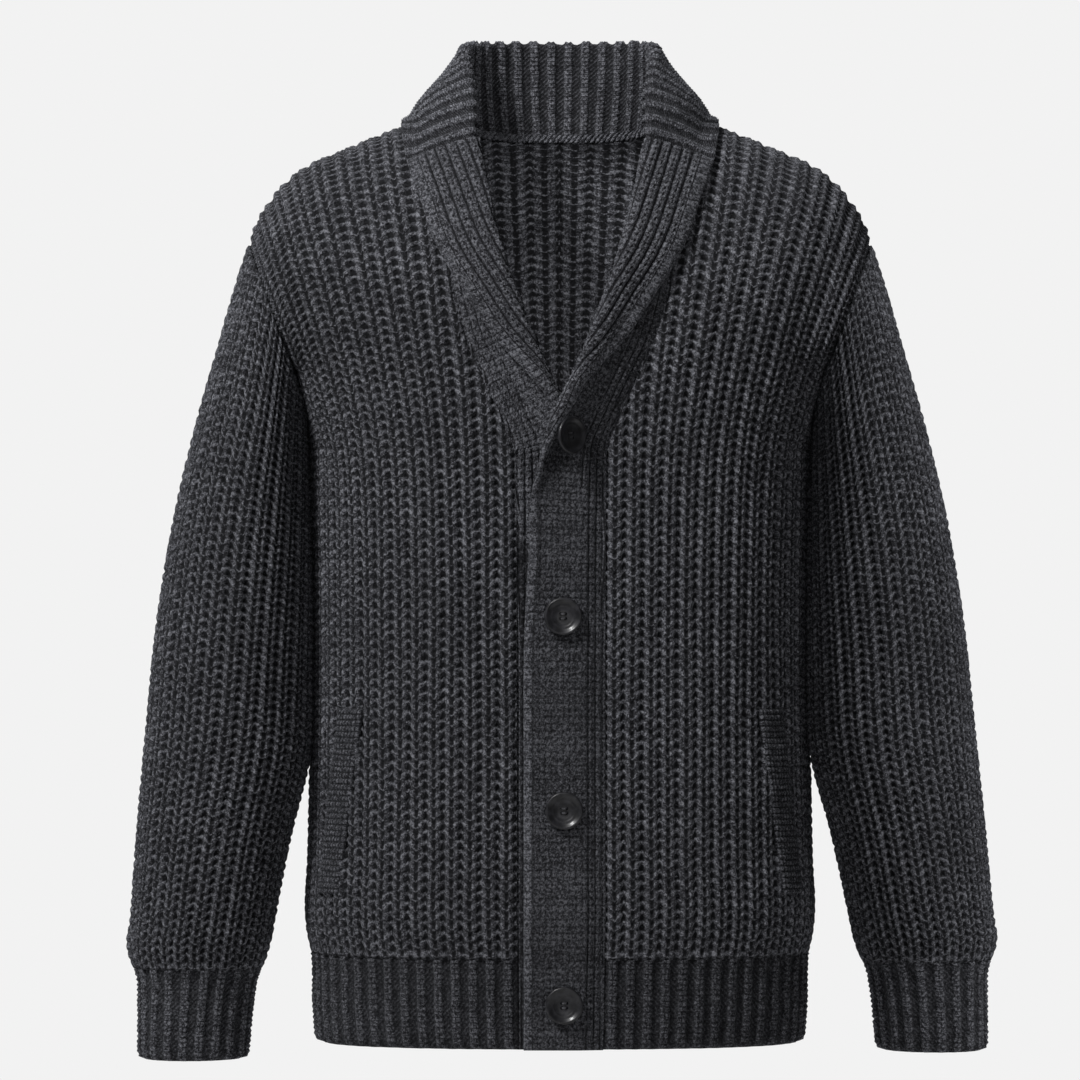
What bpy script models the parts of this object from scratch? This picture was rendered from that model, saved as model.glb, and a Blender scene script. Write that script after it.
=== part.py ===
"""Shawl collar cardigan in a chunky half-cardigan rib, filled out as it is worn, with nobody in it.

Metres, +Z up, the front faces -Y and +X is the wearer's left. The origin is at the base of the wearer's
neck, level with the back neck seam, where the shoulders hold the garment up.
"""

import math
from collections import namedtuple

import bmesh
import bpy
import numpy as np
from mathutils import Matrix, Vector
from mathutils.bvhtree import BVHTree

# Driving sizes
WALL = 0.0040  # the chunky knit, over its ribs
STRIP_WALL = 0.0034  # the finer knit of the bands, lapels and collar
SEAM_GAP = 0.0003  # between two pieces that are linked together
ROUNDNESS = 2.45  # of the body's rings: 2 is an ellipse
CHEST_Z = -0.235  # below it the body is a plain tube of rings
HEM_SEAM_Z = -0.617
HEM_Z = -0.684
CUFF_SEAM = 10  # the row of SLEEVE_RINGS where the sleeve ends and the cuff starts

# Ribs: how many, and how deep the gaps between them are
RIBS_FRONT = 16
RIBS_BACK = 36
RIBS_SLEEVE = 26
RIBS_CUFF = 20
RIBS_STRIP = 10
RIBS_COLLAR = 22
RIBS_WELT = 12
RIB_DEEP = 0.0016
HEM_RIB_DEEP = 0.0010
STRIP_RIB_DEEP = 0.0007
COLLAR_RIB_DEEP = 0.0011

# Rings of the body, from the hem up to the chest
Ring = namedtuple("Ring", "z half_width front back")
BODY_RINGS = (
    Ring(HEM_Z, 0.1860, 0.103, 0.099),
    Ring(-0.655, 0.1880, 0.106, 0.102),
    Ring(HEM_SEAM_Z, 0.1890, 0.109, 0.105),
    Ring(-0.597, 0.1925, 0.112, 0.108),
    Ring(-0.540, 0.1915, 0.113, 0.107),
    Ring(-0.440, 0.1895, 0.115, 0.106),
    Ring(-0.330, 0.1888, 0.118, 0.108),
    Ring(CHEST_Z, 0.1900, 0.121, 0.112),
)

# The shoulder line from the neck's middle to the shoulder's tip, seen from the front
Spot = namedtuple("Spot", "x z")
SHOULDER = (
    Spot(0.000, 0.0350),
    Spot(0.045, 0.0335),
    Spot(0.086, 0.0260),
    Spot(0.118, 0.0120),
    Spot(0.163, -0.0060),
    Spot(0.200, -0.0240),
    Spot(0.221, -0.0460),
    Spot(0.2325, -0.0660),
    Spot(0.2365, -0.0800),
)

# The middle line of the chest and of the back, from the chest ring to the shoulder line, seen from the side
Profile = namedtuple("Profile", "out z")
CHEST_LINE = (
    Profile(0.121, CHEST_Z),
    Profile(0.120, -0.180),
    Profile(0.109, -0.110),
    Profile(0.088, -0.050),
    Profile(0.058, -0.004),
    Profile(0.025, 0.028),
    Profile(0.000, 0.035),
)
BACK_LINE = (
    Profile(0.112, CHEST_Z),
    Profile(0.117, -0.170),
    Profile(0.114, -0.100),
    Profile(0.100, -0.040),
    Profile(0.073, 0.004),
    Profile(0.035, 0.030),
    Profile(0.000, 0.035),
)

# Each face of the body: its sign along Y, its middle line, and the share of a half's width that
# goes up to the shoulder. The rest of it ends in the underarm.
Face = namedtuple("Face", "sign line depth cut armhole_depth")
FRONT = Face(-1, CHEST_LINE, "front", 0.7830, 0.078)
BACK = Face(1, BACK_LINE, "back", 0.7778, 0.074)

# Rings of the wearer's left sleeve. A ring passes through its outer and its inner point, seen from the
# front, and is as deep from front to back as `depth` says. The first one is the armhole.
SleeveRing = namedtuple("SleeveRing", "outer_x outer_z inner_x inner_z depth middle_y")
SLEEVE_RINGS = (
    SleeveRing(0.2365, -0.0800, 0.1900, -0.1990, 0.076, -0.002),
    SleeveRing(0.2480, -0.1170, 0.1930, -0.2280, 0.074, -0.004),
    SleeveRing(0.2600, -0.1600, 0.1910, -0.2560, 0.072, -0.009),
    SleeveRing(0.2755, -0.2160, 0.1890, -0.2900, 0.070, -0.016),
    SleeveRing(0.2915, -0.2850, 0.1876, -0.3360, 0.067, -0.023),
    SleeveRing(0.3050, -0.3650, 0.1872, -0.3970, 0.063, -0.028),
    SleeveRing(0.3145, -0.4500, 0.1884, -0.4640, 0.059, -0.031),
    SleeveRing(0.3195, -0.5250, 0.2030, -0.5270, 0.055, -0.032),
    SleeveRing(0.3240, -0.5860, 0.2145, -0.5860, 0.052, -0.032),
    SleeveRing(0.3268, -0.6090, 0.2190, -0.6090, 0.050, -0.032),
    SleeveRing(0.3225, -0.6270, 0.2245, -0.6270, 0.044, -0.032),
    SleeveRing(0.3200, -0.6360, 0.2280, -0.6360, 0.041, -0.032),
    SleeveRing(0.3195, -0.6600, 0.2315, -0.6600, 0.040, -0.033),
    SleeveRing(0.3195, -0.6950, 0.2345, -0.6950, 0.039, -0.034),
)
Sway = namedtuple("Sway", "out up")
SWAY = {"left": Sway(0.0032, 0.0065), "right": Sway(0.0, 0.0)}  # how the two forearms differ, at the cuff
ARMHOLE_FRONT_TURN = 2.303  # where the underarm part of the armhole ends, as an angle round its ring
ARMHOLE_CLIMB = 0.26  # how far up the chest, from 0 to 1, that is
ELBOW_Z = -0.400
UNDERARM_LEAN = 1.0
TIP_LEAN = 1.25

# Soft hollows that run up from the underarm, where the chest turns into the arm
Fold = namedtuple("Fold", "face share climb reach width depth")
FOLDS = (
    Fold("front", 0.655, 0.48, 0.26, 0.050, 0.0055),
    Fold("back", 0.660, 0.50, 0.30, 0.060, 0.0045),
)

# The neck edge of the fronts, and of the back
FRONT_NECK = (
    Spot(0.0330, -0.240),
    Spot(0.0340, -0.235),
    Spot(0.0405, -0.221),
    Spot(0.0490, -0.200),
    Spot(0.0640, -0.170),
    Spot(0.0705, -0.155),
    Spot(0.0795, -0.126),
    Spot(0.0850, -0.096),
    Spot(0.0870, -0.060),
    Spot(0.0872, -0.020),
    Spot(0.0860, 0.026),
)
BACK_NECK = (
    Spot(0.000, 0.0030),
    Spot(0.030, 0.0032),
    Spot(0.055, 0.0045),
    Spot(0.072, 0.0100),
    Spot(0.086, 0.0260),
)
BAND_SEAM_SHARE = 0.1320  # where the band is joined to the front, as a share of half the front

# The wearer's left strip, from the hem to its seam with the back collar. It is sewn to the front at
# seam_z, rolls over at the roll point and ends at the edge point. `over` and `under` say how far the roll
# stands off the chest on the strip that laps over and on the one beneath. A turn of 1 is rolled right over,
# of 0 or less is flat.
Station = namedtuple("Station", "seam_z roll_x roll_z edge_x edge_z over under over_turn under_turn")
BAND_EDGE_X = -0.0248
STATIONS = (
    Station(HEM_Z, BAND_EDGE_X, HEM_Z, BAND_EDGE_X, HEM_Z, 0.0010, -0.0048, -4, -4),
    Station(-0.600, BAND_EDGE_X, -0.600, BAND_EDGE_X, -0.600, 0.0010, -0.0048, -4, -4),
    Station(-0.480, BAND_EDGE_X, -0.480, BAND_EDGE_X, -0.480, 0.0010, -0.0048, -3, -4),
    Station(-0.370, -0.0244, -0.370, -0.0244, -0.370, 0.0020, -0.0048, -1, -4),
    Station(-0.293, -0.0208, -0.290, -0.0208, -0.290, 0.0055, -0.0050, 0.15, -3),
    Station(-0.252, -0.0122, -0.246, -0.0100, -0.246, 0.0100, -0.0058, 0.5, -1),
    Station(-0.236, -0.0085, -0.223, -0.0040, -0.226, 0.0140, -0.0068, 0.8, 0.4),
    Station(-0.222, 0.0010, -0.203, 0.0045, -0.2055, 0.0160, -0.0068, 1, 1),
    Station(-0.192, 0.0145, -0.175, 0.0250, -0.180, 0.0150, -0.0060, 1, 1),
    Station(-0.161, 0.0267, -0.145, 0.0490, -0.154, 0.0120, -0.0030, 1, 1),
    Station(-0.126, 0.0397, -0.112, 0.0697, -0.1225, 0.0100, 0.0000, 1, 1),
    Station(-0.085, 0.0507, -0.076, 0.0915, -0.087, 0.0090, 0.0030, 1, 1),
    Station(-0.0435, 0.0592, -0.038, 0.1056, -0.047, 0.0100, 0.0065, 1, 1),
    Station(-0.0080, 0.0650, -0.004, 0.1155, -0.019, 0.0120, 0.0120, 1, 1),
)

# The back collar, from its seam with the left lapel to the middle of the back: roll and edge points, where
# it is sewn to the neck edge (on the front at this z or the back at this x) and how far above the middle
# of that wall, and which way it falls open.
CollarStation = namedtuple(
    "CollarStation", "neck lift roll_x roll_y roll_z edge_x edge_y edge_z open_x open_y open_z"
)
COLLAR_STATIONS = (
    CollarStation(("front", 0.0130), 0.0032, 0.0660, -0.040, 0.027, 0.1165, -0.012, 0.003, 0.60, -0.72, 0.35),
    CollarStation(("back", 0.0860), 0.0044, 0.0680, -0.008, 0.051, 0.1150, 0.014, 0.011, 0.85, -0.30, 0.42),
    CollarStation(("back", 0.0760), 0.0036, 0.0690, 0.026, 0.0675, 0.1130, 0.046, 0.006, 0.92, 0.20, 0.33),
    CollarStation(("back", 0.0600), 0.0030, 0.0610, 0.055, 0.0735, 0.0950, 0.074, -0.002, 0.75, 0.62, 0.20),
    CollarStation(("back", 0.0350), 0.0030, 0.0370, 0.074, 0.0755, 0.0560, 0.092, -0.008, 0.38, 0.92, 0.08),
    CollarStation(("back", 0.0000), 0.0030, 0.0000, 0.081, 0.0760, 0.0000, 0.098, -0.011, 0.00, 1.00, 0.05),
)
ROLL_RADIUS = 0.0040
ROLL_POINTS = 12  # of a section, round the roll
CURL = 0.0020  # how much of a strip stands beyond a roll that is only half turned
LAP_RISE = 0.0030  # how soon after its seam the band on top clears the one beneath
COLLAR_GAP = 0.0010  # between the back collar and each lapel
COLLAR_BULGE = 0.08  # how far its fall swells, as a share of its depth
LAPEL_CLEAR = 0.0018  # between the fall of a lapel or collar and what it lies on

# The wearer's left pocket welt, on the front panel: its two ends, the nearer edge from the middle
WELT_WIDTH = 0.025
WELT_THICK = 0.0030
WeltEnd = namedtuple("WeltEnd", "z near_x")
WELT_TOP = WeltEnd(-0.430, 0.148)
WELT_BOTTOM = WeltEnd(-0.570, 0.167)

# Buttons, down the middle of the lapped bands
BUTTON_RADIUS = 0.0140
BUTTON_THICK = 0.0045
BUTTON_SIDES = 20
HOLE_RADIUS = 0.0010
HOLE_PITCH = 0.0034
Button = namedtuple("Button", "x z turn")
BUTTONS = (
    Button(0.0062, -0.2265, math.radians(44)),
    Button(0.0020, -0.3605, 0.0),
    Button(0.0028, -0.5050, 0.0),
    Button(0.0028, -0.6500, 0.0),
)


def smooth(at, rows, where):
    """Values on a smooth curve through rows, which lie at the rising numbers in `at`."""
    at = np.asarray(at, float)
    rows = np.asarray(rows, float)
    where = np.asarray(where, float)
    slopes = np.gradient(rows, at, axis=0)
    i = np.clip(np.searchsorted(at, where, side="right") - 1, 0, len(at) - 2)
    step = at[i + 1] - at[i]
    t = (where - at[i]) / step
    if rows.ndim > 1:
        step = step[..., None]
        t = t[..., None]
    ahead = t * t * (3 - 2 * t)
    out = t * (1 - t) ** 2
    back = t * t * (t - 1)
    return (1 - ahead) * rows[i] + ahead * rows[i + 1] + step * (out * slopes[i] + back * slopes[i + 1])


def smoothstep(x):
    x = np.clip(x, 0, 1)
    return x * x * (3 - 2 * x)


def lengths(points):
    """Length along a line of points, from 0 to its whole length."""
    steps = np.linalg.norm(np.diff(points, axis=0), axis=1)
    return np.concatenate([[0], np.cumsum(steps)])


def at_shares(points, shares):
    """Points at these shares of a line's length."""
    along = lengths(points)
    along = along / along[-1]
    return np.stack([np.interp(shares, along, points[:, k]) for k in range(points.shape[1])], axis=-1)


def dense(table, count=160):
    """A smooth line of many points through a table of few."""
    rows = np.array([tuple(row) for row in table], float)
    at = lengths(rows)
    return smooth(at, rows, np.linspace(0, at[-1], count))


def moved_in(line, inset, last=None):
    """A line in a plane, moved to its right by inset. `last` replaces the direction at its end."""
    tangent = np.gradient(line, axis=0)
    tangent /= np.linalg.norm(tangent, axis=1)[:, None]
    inward = np.stack([tangent[:, 1], -tangent[:, 0]], axis=-1)
    if last is not None:
        fade = smoothstep((lengths(line) / lengths(line)[-1] - 0.75) / 0.25)[:, None]
        inward = inward * (1 - fade) + np.asarray(last) * fade
    return line + inset * inward


def armhole_plane():
    """The armhole's outer and inner points, and the unit direction between them, seen from the front."""
    ring = SLEEVE_RINGS[0]
    tip = np.array([ring.outer_x, ring.outer_z])
    pit = np.array([ring.inner_x, ring.inner_z])
    up = (tip - pit) / np.linalg.norm(tip - pit)
    return tip, pit, up


def armhole(face, turns, inset):
    """Points of the armhole on this face: turn 0 is the shoulder's tip and pi the underarm."""
    tip, pit, up = armhole_plane()
    tip = tip - up * inset * TIP_LEAN
    pit = pit + up * inset * UNDERARM_LEAN
    middle = (tip + pit) / 2
    half = (tip - pit) / 2
    turns = np.asarray(turns, float)
    flat = middle + np.cos(turns)[..., None] * half
    y = face.sign * (face.armhole_depth - inset) * np.sin(turns)
    return np.stack([flat[..., 0], y, flat[..., 1]], axis=-1)


def quarter_ring(shares, half_width, depth):
    """X and depth at shares of a quarter ring's length, from the middle line to the side."""
    turn = np.linspace(0, math.pi / 2, 240)
    x = half_width * np.sin(turn) ** (2 / ROUNDNESS)
    out = depth * np.cos(turn) ** (2 / ROUNDNESS)
    spots = at_shares(np.stack([x, out], axis=-1), np.abs(shares))
    return spots[..., 0], spots[..., 1]


def ring_at(z):
    rows = BODY_RINGS
    sizes = [(r.half_width, r.front, r.back) for r in rows]
    return smooth([r.z for r in rows], sizes, z)


def lower_body(face, shares, heights, inset):
    """Points of the body below the chest: a row for each height, a column for each share."""
    grid = []
    for z in heights:
        half_width, front, back = ring_at(z)
        depth = front if face.depth == "front" else back
        x, out = quarter_ring(shares, half_width - inset, depth - inset)
        grid.append(np.stack([np.sign(shares) * x, face.sign * out, np.full_like(x, z)], axis=-1))
    return np.array(grid)


def fold_depth(face, shares, climbs):
    """How deep the soft folds press in, for each climb (row) and share (column)."""
    total = np.zeros((len(climbs), len(shares)))
    for fold in FOLDS:
        if fold.face == face.depth:
            across = (np.abs(shares)[None, :] - fold.share) / fold.width
            along = (np.asarray(climbs)[:, None] - fold.climb) / fold.reach
            total += fold.depth * np.exp(-across**2) * smoothstep(1 - np.abs(along))
    return total


def upper_body(face, shares, climbs, inset):
    """Points above the chest ring: climb 0 is the ring, 1 the shoulder line, and past the cut the underarm."""
    shares = np.asarray(shares, float)
    climbs = np.asarray(climbs, float)
    sign = np.where(shares < 0, -1.0, 1.0)
    share = np.abs(shares)
    ring = BODY_RINGS[-1]
    depth = ring.front if face.depth == "front" else ring.back

    def chest(at):
        x, out = quarter_ring(at, ring.half_width - inset, depth - inset)
        return np.stack([x, face.sign * out, np.full_like(x, CHEST_Z)], axis=-1)

    w = np.clip(share / face.cut, 0, 1)
    up = armhole_plane()[2]
    top = at_shares(moved_in(dense(SHOULDER), inset, -up * TIP_LEAN), w)
    top = np.stack([top[:, 0], np.zeros_like(w), top[:, 1]], axis=-1)
    line = at_shares(moved_in(dense(face.line), -inset), climbs)
    line = np.stack([np.zeros_like(climbs), face.sign * line[:, 0], line[:, 1]], axis=-1)
    foot = chest(np.array([face.cut]))[0]
    pit_end = armhole(face, ARMHOLE_FRONT_TURN, inset)
    low = np.clip(climbs / ARMHOLE_CLIMB, 0, 1)[:, None]
    high = np.clip((climbs - ARMHOLE_CLIMB) / (1 - ARMHOLE_CLIMB), 0, 1)
    edge = np.where(
        (climbs < ARMHOLE_CLIMB)[:, None],
        foot + (pit_end - foot) * low,
        armhole(face, ARMHOLE_FRONT_TURN * (1 - high), inset),
    )
    bottom = chest(share)
    rise = smoothstep(climbs)[:, None, None]
    w_column = w[None, :, None]
    line_start = np.array([0, face.sign * (depth - inset), CHEST_Z])
    line_end = top[0] if w[0] == 0 else np.array([0, 0, SHOULDER[0].z - inset])
    line_part = line[:, None] - (1 - rise) * line_start - rise * line_end
    tip = armhole(face, 0.0, inset)
    edge_part = edge[:, None] - (1 - rise) * foot - rise * tip
    grid = (1 - rise) * chest(np.minimum(share, face.cut))[None] + rise * top[None]
    grid = grid + (1 - w_column) * line_part + w_column * edge_part
    past = share > face.cut + 1e-6
    if past.any():
        k = (share[past] - face.cut) / (1 - face.cut)
        pit = armhole(face, ARMHOLE_FRONT_TURN + (math.pi - ARMHOLE_FRONT_TURN) * k, inset)
        grid[:, past] = bottom[past][None] + (pit - bottom[past])[None] * low[:, None]
    grid[..., 1] += -face.sign * fold_depth(face, share, climbs)
    grid[..., 0] *= sign
    return grid


def keep_on_side(face, grid):
    """Side and shoulder seams lie in the plane Y = 0: each face stops half a gap before it."""
    y = grid[..., 1]
    grid[..., 1] = np.minimum(y, -SEAM_GAP / 2) if face.sign < 0 else np.maximum(y, SEAM_GAP / 2)
    return grid


def body_grid(face, shares, heights, climbs, inset):
    """Lower rows at heights, then upper rows at climbs, whose first one is the chest ring itself."""
    rows = [lower_body(face, shares, heights, inset), upper_body(face, shares, climbs, inset)]
    return keep_on_side(face, np.concatenate(rows))


def back_neck_climb(share):
    """The climb at which the back at this share meets the neck edge, or 1 where it reaches the shoulder."""
    climbs = np.linspace(0, 1, 401)
    spots = upper_body(BACK, np.array([share]), climbs, 0.0)[:, 0]
    x = np.abs(spots[:, 0])
    neck_z = np.interp(x, [s.x for s in BACK_NECK], [s.z for s in BACK_NECK])
    past = (spots[:, 2] > neck_z) & (x < BACK_NECK[-1].x)
    return climbs[np.argmax(past)] if past.any() else 1.0


def front_neck_share(climb):
    """The share at which the front at this climb meets the neck edge."""
    shares = np.linspace(BAND_SEAM_SHARE, 0.5, 401)
    spots = upper_body(FRONT, shares, np.array([climb]), 0.0)[0]
    neck_x = np.interp(spots[:, 2], [s.z for s in FRONT_NECK], [s.x for s in FRONT_NECK])
    return shares[np.argmax(spots[:, 0] >= neck_x)]


# Meshes


def material(name, colour, roughness, sheen=0.0):
    made = bpy.data.materials.new(name)
    made.use_nodes = True
    shader = made.node_tree.nodes["Principled BSDF"]
    shader.inputs["Base Color"].default_value = (*colour, 1)
    shader.inputs["Roughness"].default_value = roughness
    shader.inputs["Sheen Weight"].default_value = sheen
    made.diffuse_color = (*colour, 1)
    return made


def add_object(name, mesh, look):
    mesh.materials.append(look)
    made = bpy.data.objects.new(name, mesh)
    PARTS.objects.link(made)
    return made


def sheet_faces(rows, columns, stand_in, present, closed):
    """Faces of a grid that is cut off at its neck edge: stand_in names the point used for a row and column."""
    faces = []
    for r in range(rows - 1):
        for c in range(columns if closed else columns - 1):
            if not present(r, c):
                continue
            d = (c + 1) % columns
            corners = [stand_in(r, c), stand_in(r, d), stand_in(r + 1, d), stand_in(r + 1, c)]
            kept = list(dict.fromkeys(corners))
            if len(kept) > 2:
                faces.append(kept)
    return faces


def open_loops(faces):
    """The loops of edges that only one face has, in the direction that this face runs them."""
    used = {(a, b) for face in faces for a, b in zip(face, face[1:] + face[:1])}
    after = {a: b for a, b in used if (b, a) not in used}
    loops = []
    while after:
        loop = [next(iter(after))]
        while loop[-1] in after:
            loop.append(after.pop(loop[-1]))
        loops.append(loop[:-1])
    return loops


def wall(name, outer, inner, look, stand_in=lambda r, c: (r, c), present=lambda r, c: True, closed=False):
    """One closed wall between two grids. The plain inner one may have every second column of the outer one."""
    rows, columns = outer.shape[:2]
    stride = round(columns / inner.shape[1])

    def inner_stand_in(r, c):
        r, c = stand_in(r, c * stride)
        return r, c // stride

    def inner_present(r, c):
        return present(r, c * stride)

    outer_faces = sheet_faces(rows, columns, stand_in, present, closed)
    inner_faces = sheet_faces(rows, inner.shape[1], inner_stand_in, inner_present, closed)
    mesh = bmesh.new()
    corners = {}

    def corner(layer, key):
        if (layer, key) not in corners:
            r, c = key
            spot = outer[r, c] if layer == "outer" else inner[r, c]
            corners[layer, key] = mesh.verts.new(spot)
        return corners[layer, key]

    def add(points):
        mesh.faces.new([corner(layer, key) for layer, key in points])

    for face in outer_faces:
        add([("outer", key) for key in face])
    for face in inner_faces:
        add([("inner", key) for key in reversed(face)])
    for loop in open_loops(outer_faces):
        start = next(i for i, key in enumerate(loop) if key[1] % stride == 0)
        loop = loop[start:] + loop[:start]
        twins = [i for i, key in enumerate(loop) if key[1] % stride == 0] + [len(loop)]
        loop = loop + [loop[0]]
        for a, b in zip(twins, twins[1:]):
            twin_a = ("inner", (loop[a][0], loop[a][1] // stride))
            twin_b = ("inner", (loop[b][0], loop[b][1] // stride))
            for i in range(a, b - 1):
                add([("outer", loop[i + 1]), ("outer", loop[i]), twin_a])
            add([("outer", loop[b]), ("outer", loop[b - 1]), twin_a, twin_b])
    bmesh.ops.recalc_face_normals(mesh, faces=mesh.faces)
    data = bpy.data.meshes.new(name)
    mesh.to_mesh(data)
    mesh.free()
    return add_object(name, data, look)


def between(outer, inner, share):
    """A grid part of the way from outer to inner; share may differ from column to column."""
    share = np.asarray(share, float)
    return outer + (inner - outer) * (share[None, :, None] if share.ndim else share)


def ribbed(columns, deep):
    """The depth of each column as a share of the wall: a gap at even columns, a rib's crest at odd ones."""
    return np.where(np.arange(columns) % 2 == 0, deep, 0.0)


# Body panels

HEM_ROWS = (HEM_Z, -0.652, HEM_SEAM_Z - SEAM_GAP)
PANEL_ROWS = (HEM_SEAM_Z, -0.597, -0.520, -0.430, -0.330)
PANEL_CLIMBS = (0.0, 0.13, ARMHOLE_CLIMB, 0.40, 0.54, 0.68, 0.82, 0.92, 1.0)


def front(name, side, look):
    """A front: from the hem seam to its neck edge, which cuts each row off, the shoulder and the armhole."""
    shares = np.linspace(BAND_SEAM_SHARE, 1, 2 * RIBS_FRONT + 1)
    climbs = np.array(PANEL_CLIMBS)
    outer = body_grid(FRONT, shares, PANEL_ROWS, climbs, 0.0)
    inner = body_grid(FRONT, shares, PANEL_ROWS, climbs, WALL)
    first = np.zeros(len(outer), int)
    for r, climb in enumerate(climbs):
        row = len(PANEL_ROWS) + r
        end = front_neck_share(climb)
        column = int(np.searchsorted(shares, end - 1e-9))
        first[row] = column - column % 2
        for grid, inset in ((outer, 0.0), (inner, WALL)):
            spot = upper_body(FRONT, np.array([end]), np.array([climb]), inset)
            grid[row, first[row]] = keep_on_side(FRONT, spot)[0, 0]
    middles = (outer + inner) / 2
    neck = np.array([middles[r, first[r]] for r in range(len(PANEL_ROWS), len(outer))])
    pit_row = len(PANEL_ROWS) + PANEL_CLIMBS.index(ARMHOLE_CLIMB)
    column_middles = (shares[:-1] + shares[1:]) / 2

    def stand_in(r, c):
        return r, max(c, first[r])

    def present(r, c):
        return r < pit_row or column_middles[c] < FRONT.cut

    deep = ribbed(len(shares), RIB_DEEP / WALL)
    mirror = np.array([side, 1, 1])
    ribs = between(outer, inner, deep)
    return wall(name, ribs * mirror, inner[:, ::2] * mirror, look, stand_in, present), neck


def back(name, look):
    """The back: from the hem seam to the neck edge, which cuts each rib off, the shoulders and the armholes."""
    shares = np.linspace(-1, 1, 2 * RIBS_BACK + 1)
    climbs = np.array(PANEL_CLIMBS)
    outer = body_grid(BACK, shares, PANEL_ROWS, climbs, 0.0)
    inner = body_grid(BACK, shares, PANEL_ROWS, climbs, WALL)
    last = np.full(len(shares), len(outer) - 1)
    for c, share in enumerate(shares):
        end = back_neck_climb(share)
        if end == 1.0:
            continue
        k = int(np.searchsorted(climbs, end))
        if end - climbs[k - 1] < 0.35 * (climbs[k] - climbs[k - 1]):
            k -= 1
        last[c] = len(PANEL_ROWS) + k
        for grid, inset in ((outer, 0.0), (inner, WALL)):
            spot = upper_body(BACK, np.array([share]), np.array([end]), inset)
            grid[last[c], c] = keep_on_side(BACK, spot)[0, 0]
    middles = (outer + inner) / 2
    cut_off = [c for c in range(len(shares)) if last[c] < len(outer) - 1]
    ends = [*cut_off, cut_off[-1] + 1]
    neck = np.array([middles[last[c], c] for c in ends if shares[c] > -1e-6])
    pit_row = len(PANEL_ROWS) + PANEL_CLIMBS.index(ARMHOLE_CLIMB)
    column_middles = np.abs(shares[:-1] + shares[1:]) / 2

    def stand_in(r, c):
        return min(r, last[c]), c

    def present(r, c):
        return r < pit_row or column_middles[c] < BACK.cut

    deep = ribbed(len(shares), RIB_DEEP / WALL)
    return wall(name, between(outer, inner, deep), inner[:, ::2], look, stand_in, present), neck


def hem(name, face, shares, look):
    """The ribbing below a front or the back, rib on rib."""
    outer = keep_on_side(face, lower_body(face, shares, HEM_ROWS, 0.0))
    inner = keep_on_side(face, lower_body(face, shares, HEM_ROWS, WALL - 0.0004))
    deep = ribbed(len(shares), HEM_RIB_DEEP / WALL)
    return wall(name, between(outer, inner, deep), inner[:, ::2], look)


# Sleeves


def sleeve_outlines(inset):
    """The outer and inner outlines of the sleeve, seen from the front, one point for each ring."""
    outer = np.array([(r.outer_x, r.outer_z) for r in SLEEVE_RINGS])
    inner = np.array([(r.inner_x, r.inner_z) for r in SLEEVE_RINGS])
    up = armhole_plane()[2]
    outer_in = moved_in(outer, 1.0) - outer
    inner_in = -(moved_in(inner, 1.0) - inner)
    outer_in[0] = -up * TIP_LEAN
    inner_in[0] = up * UNDERARM_LEAN
    inner_in[1] = (inner_in[1] + inner_in[0] * 0.5) / np.linalg.norm(inner_in[1] + inner_in[0] * 0.5)
    return outer + inset * outer_in, inner + inset * inner_in


def sleeve_grid(stations, shares, inset):
    """Rings of the left sleeve at stations, which count SLEEVE_RINGS, with columns at shares of their length."""
    outer, inner = sleeve_outlines(inset)
    sizes = np.array([(r.depth - inset, r.middle_y) for r in SLEEVE_RINGS])
    rings = smooth(np.arange(len(SLEEVE_RINGS)), np.concatenate([outer, inner, sizes], axis=1), stations)
    turns = np.linspace(0, 2 * math.pi, 241)
    grid = []
    for outer_x, outer_z, inner_x, inner_z, depth, middle_y in rings:
        x = (outer_x + inner_x) / 2 - np.cos(turns) * (outer_x - inner_x) / 2
        z = (outer_z + inner_z) / 2 - np.cos(turns) * (outer_z - inner_z) / 2
        y = middle_y - np.sin(turns) * depth
        grid.append(at_shares(np.stack([x, y, z], axis=-1), shares))
    return np.array(grid)


def sleeve_tube(name, side, stations, ribs, deep, start_shift, look):
    """A tube of the sleeve or its cuff: side is 1 for the wearer's left and -1 for the right."""
    shares = np.arange(2 * ribs) / (2 * ribs)
    outer = sleeve_grid(stations, shares, 0.0)
    inner = sleeve_grid(stations, shares, WALL)
    sway = SWAY["left" if side > 0 else "right"]
    for grid in (outer, inner):
        low = smoothstep((ELBOW_Z - grid[..., 2]) / (ELBOW_Z - SLEEVE_RINGS[-1].outer_z))
        grid[..., 0] += low * sway.out
        grid[..., 2] += low * sway.up
        grid[0] += start_shift
        grid[..., 0] *= side
    return wall(name, between(outer, inner, ribbed(2 * ribs, deep / WALL)), inner[:, ::2], look, closed=True)


# Bands, lapels and collar


def body_surface():
    """The whole outer surface of chest, back and shoulders, neck opening filled, to lay things on."""
    vertices = []
    faces = []
    shares = np.linspace(-1, 1, 81)
    heights = np.linspace(HEM_Z, CHEST_Z, 24)[:-1]
    climbs = np.linspace(0, 1, 24)
    for face in (FRONT, BACK):
        grid = body_grid(face, shares, heights, climbs, 0.0)
        start = len(vertices)
        rows, columns = grid.shape[:2]
        vertices += [tuple(v) for v in grid.reshape(-1, 3)]
        for r in range(rows - 1):
            for c in range(columns - 1):
                a = start + r * columns + c
                quad = (a, a + 1, a + columns + 1, a + columns)
                faces.append(quad if face.sign < 0 else quad[::-1])
    return BVHTree.FromPolygons(vertices, faces)


def chest_y(surface, x, z):
    """Where the chest's outer surface is, straight ahead of this x and z."""
    hit = surface.ray_cast(Vector((x, -1.0, z)), Vector((0, 1, 0)))[0]
    return hit.y if hit else 0.0


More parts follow.
